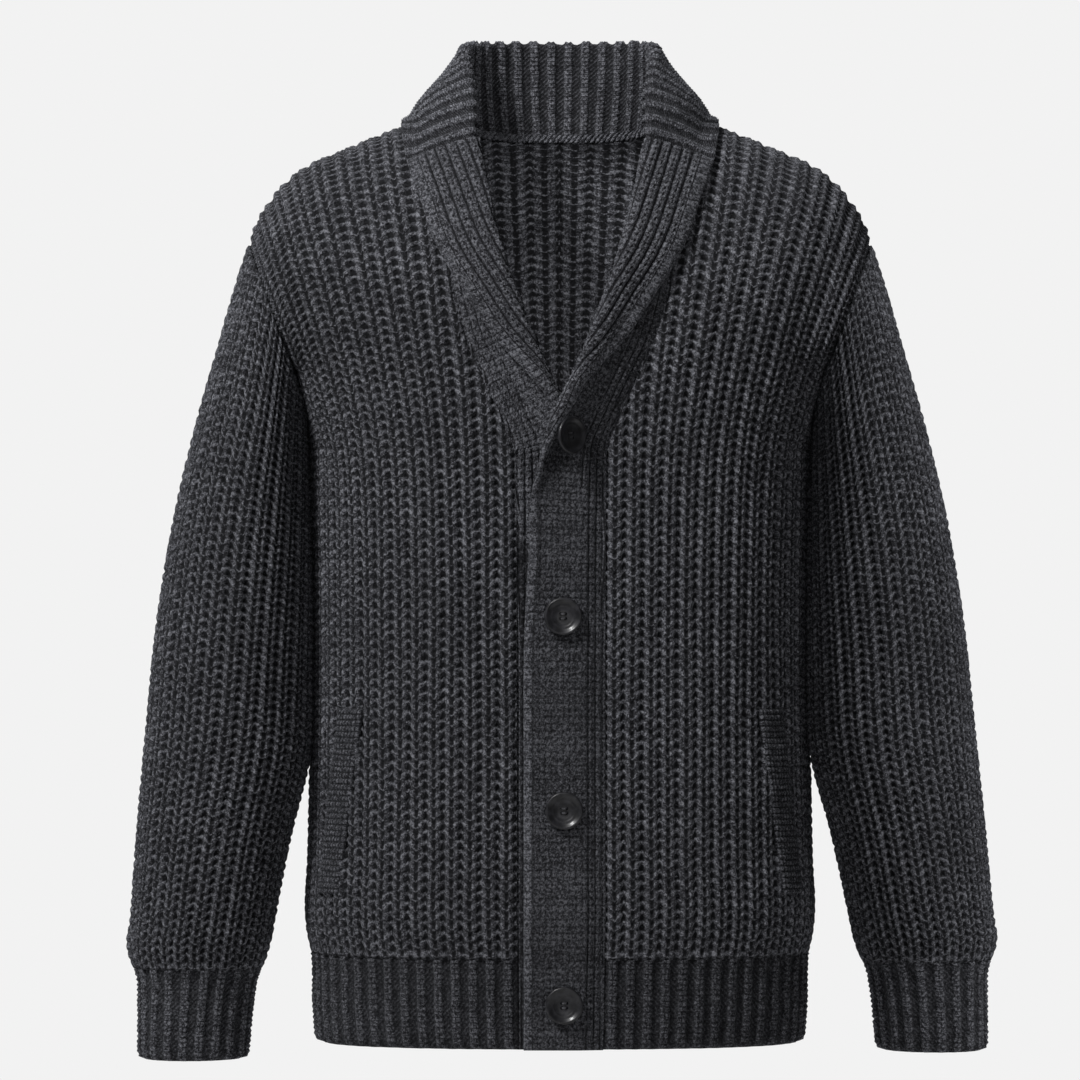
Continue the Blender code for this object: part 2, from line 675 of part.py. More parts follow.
def lifted(surface, spot, least):
    """The spot, moved out along the body's surface normal until it clears the body by least."""
    near, normal, _, _ = surface.find_nearest(Vector(spot))
    clear = (Vector(spot) - near).dot(normal)
    return np.array(spot) + max(0.0, least - clear) * np.array(normal)


def unit(v):
    return v / np.linalg.norm(v, axis=-1, keepdims=True)


def section(stand, opens, turn, edge, bulge, surface):
    """The middle of a rolled strip across its width: the stand, the roll at its end, and the fall to the edge."""
    ahead = unit(stand[-1] - stand[-3])
    away = unit(opens - ahead * opens.dot(ahead))
    line = [stand]
    if turn > 0:
        bends = np.linspace(0, math.pi * turn, ROLL_POINTS + 1)[1:, None]
        roll = stand[-1] + ROLL_RADIUS * (np.sin(bends) * ahead + (1 - np.cos(bends)) * away)
        leaving = math.cos(math.pi * turn) * ahead + math.sin(math.pi * turn) * away
        start = roll[-1]
        reach = np.linalg.norm(edge - start)
        pull = start + leaving * reach * 0.35 + away * reach * bulge
        rest = edge + (pull - edge) * 0.4 + away * reach * (bulge + 0.06)
        rolled = smoothstep((turn - 0.8) / 0.2)
        edge = edge * rolled + (start + leaving * CURL * min(1, turn / 0.3)) * (1 - rolled)
        t = np.linspace(0, 1, 25)[1:, None]
        fall = (1 - t) ** 3 * start + 3 * t * (1 - t) ** 2 * pull + 3 * t * t * (1 - t) * rest + t**3 * edge
        if rolled > 0:
            least = (LAPEL_CLEAR + STRIP_WALL / 2) * rolled
            fall = np.array([lifted(surface, spot, least) for spot in fall])
        line += [roll, fall]
    return np.concatenate(line)


def over_stand(stand, fall):
    """The fall of a lapel, moved forwards until it clears its own stand where it lies back over it."""
    order = np.argsort(stand[:, 0])
    least = np.interp(fall[:, 0], stand[order, 0], stand[order, 1]) - STRIP_WALL - LAPEL_CLEAR
    back_over = smoothstep((fall[:, 0] - stand[-1, 0]) / 0.004)
    made = fall.copy()
    made[:, 1] -= np.maximum(0, fall[:, 1] - least) * back_over
    return made


def strip_section(surface, side, lap, at):
    """The middle line of a band or lapel at a station number, for one side: lap is `over` or `under`."""
    sizes = smooth(np.arange(len(STATIONS)), np.array(STATIONS, float), at)
    s = Station(*sizes)
    level = s.over if lap == "over" else s.under
    turn = float(np.clip(s.over_turn if lap == "over" else s.under_turn, 0, 1))
    seam = strip_seam(s.seam_z)
    q = np.linspace(0, 1, 21)
    x = seam[0] + (s.roll_x - seam[0]) * q
    z = seam[2] + (s.roll_z - seam[2]) * q
    if lap == "under":
        out = -WALL / 2 + (level + WALL / 2) * smoothstep(q / 0.5)
    else:
        out = -WALL / 2 + LAP_RISE * smoothstep(q / 0.3) + (level + WALL / 2 - LAP_RISE) * q**1.4
    y = np.array([chest_y(surface, a, b) for a, b in zip(x, z)]) - out
    y += (seam[1] - y[0]) * (1 - smoothstep(q / 0.3))
    stand = np.stack([x, y, z], axis=-1)
    edge = np.array([s.edge_x, chest_y(surface, s.edge_x, s.edge_z) - 0.003, s.edge_z])
    if turn < 0.03:
        turn = 0.0
    lean = np.clip((at - 10) / 3, 0, 1)
    opens = unit(np.array([0.35 * lean, -1.0, 0.2 * lean]))
    line = section(stand, opens, turn, edge, 0.0, surface)
    if turn > 0:
        falls = len(stand) + ROLL_POINTS
        line[falls:] = over_stand(stand, line[falls:])
    return line * np.array([side, 1, 1])


def strip_seam(seam_z):
    """Where the strip's seam is on the left front's inner edge at this height, a gap clear of it."""
    if seam_z <= NECK_EDGE[0][2]:
        z = max(seam_z, HEM_Z)
        low = lower_body(FRONT, np.array([BAND_SEAM_SHARE]), [min(z, CHEST_Z)], WALL / 2)[0, 0]
        return np.array([low[0] - SEAM_GAP * 5, low[1], seam_z])
    x = np.interp(seam_z, NECK_EDGE[:, 2], NECK_EDGE[:, 0])
    y = np.interp(seam_z, NECK_EDGE[:, 2], NECK_EDGE[:, 1])
    return np.array([x - SEAM_GAP * 5, y, seam_z])


def normals_of(grid):
    """Unit normals of a grid of points, by its rows and columns."""
    across = np.gradient(grid, axis=1)
    along = np.gradient(grid, axis=0)
    normal = np.cross(across, along)
    return normal / np.linalg.norm(normal, axis=-1)[..., None]


def strip(name, side, lap, look, surface):
    """A band with its lapel, one piece from the hem to the seam with the back collar."""
    stations = np.concatenate([np.arange(0, 5), np.linspace(5, len(STATIONS) - 1, 11)])
    columns = 2 * RIBS_STRIP + 1
    shares = np.linspace(0, 1, columns)
    grid = np.array([at_shares(strip_section(surface, side, lap, at), shares) for at in stations])
    normal = normals_of(grid)
    if normal[0, 3, 1] > 0:
        normal = -normal
    turns = [s.over_turn if lap == "over" else s.under_turn for s in STATIONS]
    turn = smooth(np.arange(len(STATIONS)), turns, stations)
    folded = np.clip(turn, 0, 1)[:, None]
    deep = ribbed(columns, STRIP_RIB_DEEP)[None, :]
    shown = grid + normal * (STRIP_WALL / 2 - deep * (1 - folded))[..., None]
    turned = grid - normal * (STRIP_WALL / 2 - deep * folded)[..., None]
    return wall(name, shown, turned, look)


def collar_rows(surface):
    """What collar_section blends between: the lapel's end, and the stations of the back collar."""
    first = STATIONS[-1]
    roll_y = chest_y(surface, first.roll_x, first.roll_z) - first.over
    edge_y = chest_y(surface, first.edge_x, first.edge_z) - 0.003
    roll = [first.roll_x, roll_y, first.roll_z]
    edge = [first.edge_x, edge_y, first.edge_z]
    rows = [[*strip_seam(first.seam_z), *roll, *edge, 0.35, -1.0, 0.2]]
    for s in COLLAR_STATIONS:
        rows.append([*neck_spot(*s.neck, s.lift), *s[2:]])
    return np.array(rows)


def collar_section(surface, rows, at):
    """The middle line of the back collar at a number from 0, the left lapel's seam, to 6, the middle back."""
    values = smooth(np.arange(len(rows)), rows, at)
    seam, roll, edge, opens = values[:3], values[3:6], values[6:9], unit(values[9:12])
    q = np.linspace(0, 1, 21)[:, None]
    stand = seam + (roll - seam) * q + np.sin(math.pi * q) * 0.002 * opens
    return section(stand, opens, 1.0, edge, COLLAR_BULGE * min(at, 1), surface)


def neck_spot(panel_name, number, lift):
    """A point above the neck edge: on the front at this height, or on the back at this x."""
    if panel_name == "front":
        return strip_seam(number) + np.array([0, 0, lift])
    y = np.interp(number, BACK_EDGE[:, 0], BACK_EDGE[:, 1])
    z = np.interp(number, BACK_EDGE[:, 0], BACK_EDGE[:, 2])
    return np.array([max(number - SEAM_GAP * 4, 0), y, z + lift])


COLLAR_SHARES = (0, 0.14, 0.28, 0.39, 0.44, 0.475, 0.52, 0.60, 0.78, 1)


def back_collar(name, look, surface):
    """The collar behind the neck, with its ribs across the roll."""
    rows = collar_rows(surface)
    half = np.linspace(0, len(COLLAR_STATIONS), RIBS_COLLAR + 1)
    lapel_end = strip_section(surface, 1, "over", len(STATIONS) - 1)
    first_line = collar_section(surface, rows, 0.0)
    left = []
    for at in half:
        line = collar_section(surface, rows, at) + (lapel_end - first_line) * smoothstep(1 - at)
        left.append(at_shares(line, COLLAR_SHARES))
    left = np.array(left)
    left[0] += unit(left[1] - left[0]) * COLLAR_GAP
    right = left[:-1][::-1] * np.array([-1, 1, 1])
    grid = np.concatenate([left, right]).transpose(1, 0, 2)
    normal = normals_of(grid)
    if normal[-1, RIBS_COLLAR, 1] < 0:
        normal = -normal
    deep = ribbed(grid.shape[1], COLLAR_RIB_DEEP)[None, :]
    outer = grid + normal * (STRIP_WALL / 2 - deep)[..., None]
    inner = grid - normal * STRIP_WALL / 2
    return wall(name, outer, inner[:, ::2], look)


def share_at(z, x):
    """The share of a quarter ring's length at which the body's front has this x, at this height."""
    half_width, front, _ = ring_at(z)
    shares = np.linspace(0, 1, 400)
    return np.interp(x, quarter_ring(shares, half_width, front)[0], shares)


def quarter_length(z):
    half_width, front, _ = ring_at(z)
    spots = quarter_ring(np.linspace(0, 1, 400), half_width, front)
    return lengths(np.stack(spots, axis=-1))[-1]


def welt(name, side, look):
    """A slanted strip on the front, with ribs across it."""
    rows = 2 * RIBS_WELT + 1
    outer = []
    inner = []
    for row, z in enumerate(np.linspace(WELT_BOTTOM.z, WELT_TOP.z, rows)):
        rise = (z - WELT_BOTTOM.z) / (WELT_TOP.z - WELT_BOTTOM.z)
        near = share_at(z, WELT_BOTTOM.near_x + (WELT_TOP.near_x - WELT_BOTTOM.near_x) * rise)
        shares = near + np.linspace(0, WELT_WIDTH / quarter_length(z), 5)
        deep = STRIP_RIB_DEEP * (row % 2 == 0)
        outer.append(lower_body(FRONT, shares, [z], -WELT_THICK + deep)[0])
        inner.append(lower_body(FRONT, shares, [z], -SEAM_GAP)[0])
    mirror = np.array([side, 1, 1])
    return wall(name, np.array(outer) * mirror, np.array(inner) * mirror, look)


# Buttons

ButtonProfile = namedtuple("ButtonProfile", "radius height")
BUTTON_PROFILE = (
    ButtonProfile(0.0, 0.60),
    ButtonProfile(0.62, 0.60),
    ButtonProfile(0.80, 1.0),
    ButtonProfile(1.0, 0.65),
    ButtonProfile(0.84, 0.0),
    ButtonProfile(0.0, 0.0),
)


def button(name, spot, look, front_y):
    """A round four-hole button with a raised rim, facing out from the band."""
    profile = bpy.data.meshes.new(name)
    points = [(p.radius * BUTTON_RADIUS, 0, p.height * BUTTON_THICK) for p in BUTTON_PROFILE]
    profile.from_pydata(points, [(i, i + 1) for i in range(len(points) - 1)], [])
    made = add_object(name, profile, look)
    screw = made.modifiers.new("turn", "SCREW")
    screw.axis = "Z"
    screw.steps = screw.render_steps = BUTTON_SIDES
    screw.use_merge_vertices = True
    screw.merge_threshold = 0.00002
    for i in range(4):
        angle = math.pi / 4 + i * math.pi / 2
        bpy.ops.mesh.primitive_cylinder_add(vertices=5, radius=HOLE_RADIUS, depth=4 * BUTTON_THICK)
        hole = bpy.context.object
        hole.name = f"{name}_hole_{i + 1}"
        hole.location = (math.cos(angle) * HOLE_PITCH / 1.414, math.sin(angle) * HOLE_PITCH / 1.414, 0)
        hole.hide_render = True
        hole.display_type = "WIRE"
        for used in list(hole.users_collection):
            used.objects.unlink(hole)
        CUTTERS.objects.link(hole)
        hole.parent = made
        drill = made.modifiers.new(f"hole {i + 1}", "BOOLEAN")
        drill.operation = "DIFFERENCE"
        drill.object = hole
    made.matrix_world = (
        Matrix.Translation((spot.x, front_y, spot.z))
        @ Matrix.Rotation(spot.turn, 4, "Z")
        @ Matrix.Rotation(math.pi / 2, 4, "X")
    )
    return made


def front_of(objects, spot):
    """The most forward Y that these objects reach beneath a button."""
    bpy.context.view_layer.update()
    reach = 0.0
    for made in objects:
        tree = BVHTree.FromObject(made, bpy.context.evaluated_depsgraph_get())
        for radius in (0.0, 0.5, 0.95):
            for k in range(12):
                turn = k * math.pi / 6
                across = radius * BUTTON_RADIUS * math.cos(turn) * math.cos(spot.turn)
                up = radius * BUTTON_RADIUS * math.sin(turn)
                start = Vector((spot.x + across, -1, spot.z + up))
                hit = tree.ray_cast(start, Vector((0, 1, 0)))[0]
                if hit:
                    tilt = radius * BUTTON_RADIUS * math.cos(turn) * math.sin(spot.turn)
                    reach = min(reach, hit.y - tilt)
    return reach


# Building


def collection(name):
    made = bpy.data.collections.new(name)
    bpy.context.scene.collection.children.link(made)
    return made


for thing in list(bpy.data.objects):
    bpy.data.objects.remove(thing)
PARTS = collection("shawl_collar_cardigan")
CUTTERS = collection("cutters")

chunky = material("chunky_knit", (0.050, 0.051, 0.058), 0.95, 0.3)
ribbing = material("ribbing", (0.046, 0.047, 0.054), 0.95, 0.3)
strip_knit = material("collar_knit", (0.048, 0.049, 0.057), 0.95, 0.3)
button_look = material("button", (0.012, 0.012, 0.014), 0.28)

_, NECK_EDGE = front("left_front", 1, chunky)
front("right_front", -1, chunky)
_, BACK_EDGE = back("back", chunky)
front_shares = np.linspace(BAND_SEAM_SHARE, 1, 2 * RIBS_FRONT + 1)
back_shares = np.linspace(-1, 1, 2 * RIBS_BACK + 1)
hem("left_front_hem", FRONT, front_shares, ribbing)
hem("right_front_hem", FRONT, -front_shares[::-1], ribbing)
hem("back_hem", BACK, back_shares, ribbing)

sleeve_stations = np.arange(0, CUFF_SEAM + 1)
cuff_stations = np.array([CUFF_SEAM, CUFF_SEAM + 1, len(SLEEVE_RINGS) - 1])
_, _, arm_up = armhole_plane()
off_armhole = np.array([arm_up[1], 0, -arm_up[0]]) * SEAM_GAP
for side_name, side in (("left", 1), ("right", -1)):
    sleeve_tube(f"{side_name}_sleeve", side, sleeve_stations, RIBS_SLEEVE, RIB_DEEP, off_armhole, chunky)
    below = np.array([0, 0, -SEAM_GAP])
    sleeve_tube(f"{side_name}_cuff", side, cuff_stations, RIBS_CUFF, HEM_RIB_DEEP, below, ribbing)

body = body_surface()
under = strip("right_band_lapel", -1, "under", strip_knit, body)
over = strip("left_band_lapel", 1, "over", strip_knit, body)
back_collar("back_collar", strip_knit, body)
welt("left_pocket_welt", 1, ribbing)
welt("right_pocket_welt", -1, ribbing)
for number, spot in enumerate(BUTTONS):
    front_y = front_of([over], spot) - 0.0004
    button(f"button_{number + 1}", spot, button_look, front_y)
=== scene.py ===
"""Dresses the shawl collar cardigan: chunky half-cardigan rib, fine ribbing, rolled lapels and collar, buttons.

Metres, in the frame of the solids: +Z up, the front faces -Y, +X is the wearer's left. The garment's forms
are worked out here from the same tables as the solids, in many more rows and columns, stitch by stitch.
"""

import math
from collections import namedtuple

import bpy
import numpy as np
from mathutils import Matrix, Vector
from mathutils.bvhtree import BVHTree


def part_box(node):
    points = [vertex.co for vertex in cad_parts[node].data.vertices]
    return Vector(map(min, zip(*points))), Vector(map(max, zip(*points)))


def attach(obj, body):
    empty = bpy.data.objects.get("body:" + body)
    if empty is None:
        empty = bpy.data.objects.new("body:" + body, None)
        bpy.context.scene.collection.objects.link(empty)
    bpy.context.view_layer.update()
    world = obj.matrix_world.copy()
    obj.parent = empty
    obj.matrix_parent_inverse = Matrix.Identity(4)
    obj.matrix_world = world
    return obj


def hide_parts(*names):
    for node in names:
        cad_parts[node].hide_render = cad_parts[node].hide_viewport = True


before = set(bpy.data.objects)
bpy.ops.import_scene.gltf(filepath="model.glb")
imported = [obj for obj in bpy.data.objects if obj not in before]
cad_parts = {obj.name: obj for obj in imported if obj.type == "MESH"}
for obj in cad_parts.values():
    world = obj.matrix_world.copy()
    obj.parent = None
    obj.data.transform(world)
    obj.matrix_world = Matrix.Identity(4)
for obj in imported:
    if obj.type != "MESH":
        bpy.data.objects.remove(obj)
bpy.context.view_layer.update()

# Driving sizes
WALL = 0.0040  # the chunky knit, over its ribs
STRIP_WALL = 0.0034  # the finer knit of the bands, lapels and collar
SEAM_GAP = 0.0003  # between two pieces that are linked together
ROUNDNESS = 2.45  # of the body's rings: 2 is an ellipse
CHEST_Z = -0.235  # below it the body is a plain tube of rings
HEM_SEAM_Z = -0.617
HEM_Z = -0.684
CUFF_SEAM = 10  # the row of SLEEVE_RINGS where the sleeve ends and the cuff starts

# How many ribs there are, and rows of stitches
RIBS_FRONT = 16
RIBS_BACK = 36
RIBS_INSIDE = 28  # of the back
RIBS_SLEEVE = 26
RIBS_CUFF = 20
RIBS_COLLAR = 34
RIBS_WELT = 32
HEM_ROWS = 17
SLEEVE_ROWS = 72
CUFF_ROWS = 18

# Rings of the body, from the hem up to the chest
Ring = namedtuple("Ring", "z half_width front back")
BODY_RINGS = np.array([
    (HEM_Z, 0.1860, 0.103, 0.099),
    (-0.655, 0.1880, 0.106, 0.102),
    (HEM_SEAM_Z, 0.1890, 0.109, 0.105),
    (-0.597, 0.1925, 0.112, 0.108),
    (-0.540, 0.1915, 0.113, 0.107),
    (-0.440, 0.1895, 0.115, 0.106),
    (-0.330, 0.1888, 0.118, 0.108),
    (CHEST_Z, 0.1900, 0.121, 0.112),
])

# The shoulder line from the neck's middle to the shoulder's tip, seen from the front: x and z
SHOULDER = np.array([
    (0.000, 0.0350), (0.045, 0.0335), (0.086, 0.0260), (0.118, 0.0120), (0.163, -0.0060),
    (0.200, -0.0240), (0.221, -0.0460), (0.2325, -0.0660), (0.2365, -0.0800),
])

# The middle line of the chest and of the back, from the chest ring to the shoulder line, seen from the side:
# how far out, and z
CHEST_LINE = np.array([
    (0.121, CHEST_Z), (0.120, -0.180), (0.109, -0.110), (0.088, -0.050), (0.058, -0.004),
    (0.025, 0.028), (0.000, 0.035),
])
BACK_LINE = np.array([
    (0.112, CHEST_Z), (0.117, -0.170), (0.114, -0.100), (0.100, -0.040), (0.073, 0.004),
    (0.035, 0.030), (0.000, 0.035),
])

# Each face of the body: its sign along Y, its middle line, and as `cut` the share of a half's width that
# goes up to the shoulder. The rest of it ends in the underarm.
Face = namedtuple("Face", "name sign line cut armhole_depth")
FRONT = Face("front", -1, CHEST_LINE, 0.7830, 0.078)
BACK = Face("back", 1, BACK_LINE, 0.7778, 0.074)

# Rings of the wearer's left sleeve. A ring passes through its outer and its inner point, seen from the
# front, and is as deep from front to back as `depth` says. The first one is the armhole.
SLEEVE_RINGS = np.array([  # outer x, outer z, inner x, inner z, depth, middle y
    (0.2365, -0.0800, 0.1900, -0.1990, 0.076, -0.002),
    (0.2480, -0.1170, 0.1892, -0.2280, 0.074, -0.004),
    (0.2600, -0.1600, 0.1880, -0.2560, 0.072, -0.009),
    (0.2755, -0.2160, 0.1872, -0.2900, 0.070, -0.016),
    (0.2915, -0.2850, 0.1864, -0.3360, 0.067, -0.023),
    (0.3045, -0.3650, 0.1862, -0.3970, 0.063, -0.028),
    (0.3130, -0.4500, 0.1880, -0.4640, 0.059, -0.031),
    (0.3195, -0.5250, 0.2030, -0.5270, 0.055, -0.032),
    (0.3240, -0.5860, 0.2145, -0.5860, 0.052, -0.032),
    (0.3268, -0.6090, 0.2190, -0.6090, 0.050, -0.032),
    (0.3225, -0.6270, 0.2245, -0.6270, 0.044, -0.032),
    (0.3200, -0.6360, 0.2280, -0.6360, 0.041, -0.032),
    (0.3195, -0.6600, 0.2315, -0.6600, 0.040, -0.033),
    (0.3195, -0.6950, 0.2345, -0.6950, 0.039, -0.034),
])
LEFT_SWAY = (0.0032, 0.0, 0.0065)  # how far the left forearm is moved from the right one's place, at the cuff
ARMHOLE_FRONT_TURN = 2.303  # where the underarm part of the armhole ends, as an angle round its ring
ARMHOLE_CLIMB = 0.26  # how far up the chest, from 0 to 1, that is
ELBOW_Z = -0.400
UNDERARM_LEAN = 1.0
TIP_LEAN = 1.25

# Soft hollows that run up from the underarm, where the chest turns into the arm
Fold = namedtuple("Fold", "share climb reach width depth")
FOLDS = {
    "front": Fold(0.655, 0.48, 0.26, 0.050, 0.0055),
    "back": Fold(0.660, 0.50, 0.30, 0.060, 0.0045),
}

# The neck edge of the fronts, and of the back: x and z
FRONT_NECK = np.array([
    (0.0330, -0.240), (0.0340, -0.235), (0.0405, -0.221), (0.0490, -0.200), (0.0640, -0.170), (0.0705, -0.155),
    (0.0795, -0.126), (0.0850, -0.096), (0.0870, -0.060), (0.0872, -0.020), (0.0860, 0.026),
])
BACK_NECK = np.array([(0.000, 0.0030), (0.030, 0.0032), (0.055, 0.0045), (0.072, 0.0100), (0.086, 0.0260)])
NECK_CLIMBS = (0.0, 0.13, ARMHOLE_CLIMB, 0.40, 0.54, 0.68, 0.82, 0.92, 1.0)  # where the front's edge is sampled
BAND_SEAM_SHARE = 0.1320  # where the band is joined to the front, as a share of half the front

# The wearer's left strip, from the hem to its seam with the back collar. It is sewn to the front at
# seam_z, rolls over at the roll point and ends at the edge point. `over` and `under` say how far the roll
# stands off the chest on the strip that laps over and on the one beneath. A turn of 1 is rolled right over,
# of 0 or less is flat.
Station = namedtuple("Station", "seam_z roll_x roll_z edge_x edge_z over under over_turn under_turn")
BAND_EDGE_X = -0.0274
STATIONS = np.array([
    (HEM_Z, BAND_EDGE_X, HEM_Z, BAND_EDGE_X, HEM_Z, 0.0010, -0.0048, -4, -4),
    (-0.600, BAND_EDGE_X, -0.600, BAND_EDGE_X, -0.600, 0.0010, -0.0048, -4, -4),
    (-0.480, BAND_EDGE_X, -0.480, BAND_EDGE_X, -0.480, 0.0010, -0.0048, -3, -4),
    (-0.370, -0.0268, -0.370, -0.0268, -0.370, 0.0020, -0.0048, -1, -4),
    (-0.293, -0.0208, -0.290, -0.0208, -0.290, 0.0055, -0.0050, 0.15, -3),
    (-0.252, -0.0122, -0.246, -0.0100, -0.246, 0.0100, -0.0058, 0.5, -1),
    (-0.236, -0.0085, -0.223, -0.0040, -0.226, 0.0140, -0.0068, 0.8, 0.4),
    (-0.222, 0.0010, -0.203, 0.0045, -0.2055, 0.0160, -0.0068, 1, 1),
    (-0.192, 0.0145, -0.175, 0.0250, -0.180, 0.0150, -0.0060, 1, 1),
    (-0.161, 0.0267, -0.145, 0.0490, -0.154, 0.0120, -0.0030, 1, 1),
    (-0.126, 0.0397, -0.112, 0.0697, -0.1225, 0.0100, 0.0000, 1, 1),
    (-0.085, 0.0507, -0.076, 0.0915, -0.087, 0.0090, 0.0030, 1, 1),
    (-0.0435, 0.0592, -0.038, 0.1056, -0.047, 0.0100, 0.0065, 1, 1),
    (-0.0080, 0.0650, -0.004, 0.1155, -0.019, 0.0120, 0.0120, 1, 1),
])

# The back collar, from its seam with the left lapel to the middle of the back: where it is sewn to the neck
# edge (on the front at this z or the back at this x), how far above the middle of that wall, its roll and edge
# points, and which way it falls open
COLLAR_STATIONS = (
    ("front", 0.0130, 0.0032, 0.0660, -0.040, 0.027, 0.1165, -0.012, 0.003, 0.60, -0.72, 0.35),
    ("back", 0.0860, 0.0044, 0.0680, -0.008, 0.051, 0.1150, 0.014, 0.011, 0.85, -0.30, 0.42),
    ("back", 0.0760, 0.0036, 0.0690, 0.026, 0.0675, 0.1130, 0.046, 0.006, 0.92, 0.20, 0.33),
    ("back", 0.0600, 0.0030, 0.0610, 0.055, 0.0735, 0.0950, 0.074, -0.002, 0.75, 0.62, 0.20),
    ("back", 0.0350, 0.0030, 0.0370, 0.074, 0.0755, 0.0560, 0.092, -0.008, 0.38, 0.92, 0.08),
    ("back", 0.0000, 0.0030, 0.0000, 0.081, 0.0760, 0.0000, 0.098, -0.011, 0.00, 1.00, 0.05),
)
ROLL_RADIUS = 0.0040
ROLL_POINTS = 12  # of a section, round the roll
STAND_POINTS = 21  # of a section, from its seam to the roll
CURL = 0.0020  # how much of a strip stands beyond a roll that is only half turned
LAP_RISE = 0.0030  # how soon after its seam the band on top clears the one beneath
COLLAR_BULGE = 0.08  # how far its fall swells, as a share of its depth
LAPEL_CLEAR = 0.0018  # between the fall of a lapel or collar and what it lies on
EDGE_LIFT = 0.003  # of a lapel's edge, off the chest
LAPEL_OPENS = np.array([0.35, -1.0, 0.2])  # which way a lapel falls open, at its top

# The wearer's left pocket welt, on the front panel: z of its two ends, and x of its nearer edge there
WELT_WIDTH = 0.025
WELT_SUNK = 0.0012  # how far its back is sunk into the front
WELT_THICK = 0.0034  # from there to its ribs
WELT_LIFT = 0.0030  # how far above the front the face is that says which way it rises
WELT_TOP = np.array([-0.430, 0.148])
WELT_BOTTOM = np.array([-0.570, 0.167])

# Buttons
BUTTON_RADIUS = 0.0140
BUTTON_THICK = 0.0045
HOLE_RADIUS = 0.00125
HOLE_PITCH = 0.0034
BUTTON_TURNS = (math.radians(44), 0.0, 0.0, 0.0)  # from the top, how far each is turned about the vertical


def smooth(at, rows, where):
    """Values on a smooth curve through rows, which lie at the rising numbers in `at`."""
    where = np.asarray(where, float)
    slopes = np.gradient(rows, at, axis=0)
    i = np.clip(np.searchsorted(at, where, side="right") - 1, 0, len(at) - 2)
    step = (at[i + 1] - at[i])[..., None]
    t = (where - at[i])[..., None] / step
    ahead = t * t * (3 - 2 * t)
    out = t * (1 - t) ** 2
    back = t * t * (t - 1)
    return (1 - ahead) * rows[i] + ahead * rows[i + 1] + step * (out * slopes[i] + back * slopes[i + 1])


def smoothstep(x):
    x = np.clip(x, 0, 1)
    return x * x * (3 - 2 * x)


def unit(v):
    return v / np.linalg.norm(v, axis=-1, keepdims=True)


def between(where, at, rows):
    """Values on straight lines through rows, which lie at the rising numbers in `at`."""
    return np.stack([np.interp(where, at, column) for column in rows.T], axis=-1)


def lengths(points):
    """Length along a line of points, from 0 to its whole length."""
    steps = np.linalg.norm(np.diff(points, axis=0), axis=1)
    return np.concatenate([[0], np.cumsum(steps)])


def at_shares(points, shares):
    """Points at these shares of a line's length."""
    along = lengths(points)
    return between(shares, along / along[-1], points)


def dense(line, count=160):
    """A smooth line of many points through few."""
    at = lengths(line)
    return smooth(at, line, np.linspace(0, at[-1], count))


def moved_in(line, inset, last=None):
    """A line in a plane, moved to its right by inset. `last` replaces the direction at its end."""
    tangent = np.gradient(line, axis=0)
    tangent /= np.linalg.norm(tangent, axis=1)[:, None]
    inward = np.stack([tangent[:, 1], -tangent[:, 0]], axis=-1)
    if last is not None:
        fade = smoothstep((lengths(line) / lengths(line)[-1] - 0.75) / 0.25)[:, None]
        inward = inward * (1 - fade) + last * fade
    return line + inset * inward


ARM_TIP, ARM_PIT = SLEEVE_RINGS[0, :2], SLEEVE_RINGS[0, 2:4]  # the armhole, seen from the front
ARM_UP = (ARM_TIP - ARM_PIT) / np.linalg.norm(ARM_TIP - ARM_PIT)


def armhole(face, turns, inset):
    """Points of the armhole on this face: turn 0 is the shoulder's tip and pi the underarm."""
    tip = ARM_TIP - ARM_UP * inset * TIP_LEAN
    pit = ARM_PIT + ARM_UP * inset * UNDERARM_LEAN
    turns = np.asarray(turns, float)
    flat = (tip + pit) / 2 + np.cos(turns)[..., None] * ((tip - pit) / 2)
    y = face.sign * (face.armhole_depth - inset) * np.sin(turns)
    return np.stack([flat[..., 0], y, flat[..., 1]], axis=-1)


def quarter_ring(shares, half_width, depth):
    """X and depth at shares of a quarter ring's length, from the middle line to the side."""
    turn = np.linspace(0, math.pi / 2, 240)
    x = half_width * np.sin(turn) ** (2 / ROUNDNESS)
    out = depth * np.cos(turn) ** (2 / ROUNDNESS)
    spots = at_shares(np.stack([x, out], axis=-1), np.abs(shares))
    return spots[..., 0], spots[..., 1]


def ring_at(z):
    return Ring(z, *smooth(BODY_RINGS[:, 0], BODY_RINGS[:, 1:], z))


def lower_body(face, shares, heights, inset):
    """Points of the body below the chest: a row for each height, a column for each share."""
    grid = []
    for ring in map(ring_at, heights):
        x, out = quarter_ring(shares, ring.half_width - inset, getattr(ring, face.name) - inset)
        grid.append(np.stack([np.sign(shares) * x, face.sign * out, np.full_like(x, ring.z)], axis=-1))
    return np.array(grid)


def fold_depth(face, shares, climbs):
    """How deep the soft fold presses in, for each climb (row) and share (column)."""
    fold = FOLDS[face.name]
    across = (np.abs(shares)[None, :] - fold.share) / fold.width
    along = (climbs[:, None] - fold.climb) / fold.reach
    return fold.depth * np.exp(-across**2) * smoothstep(1 - np.abs(along))


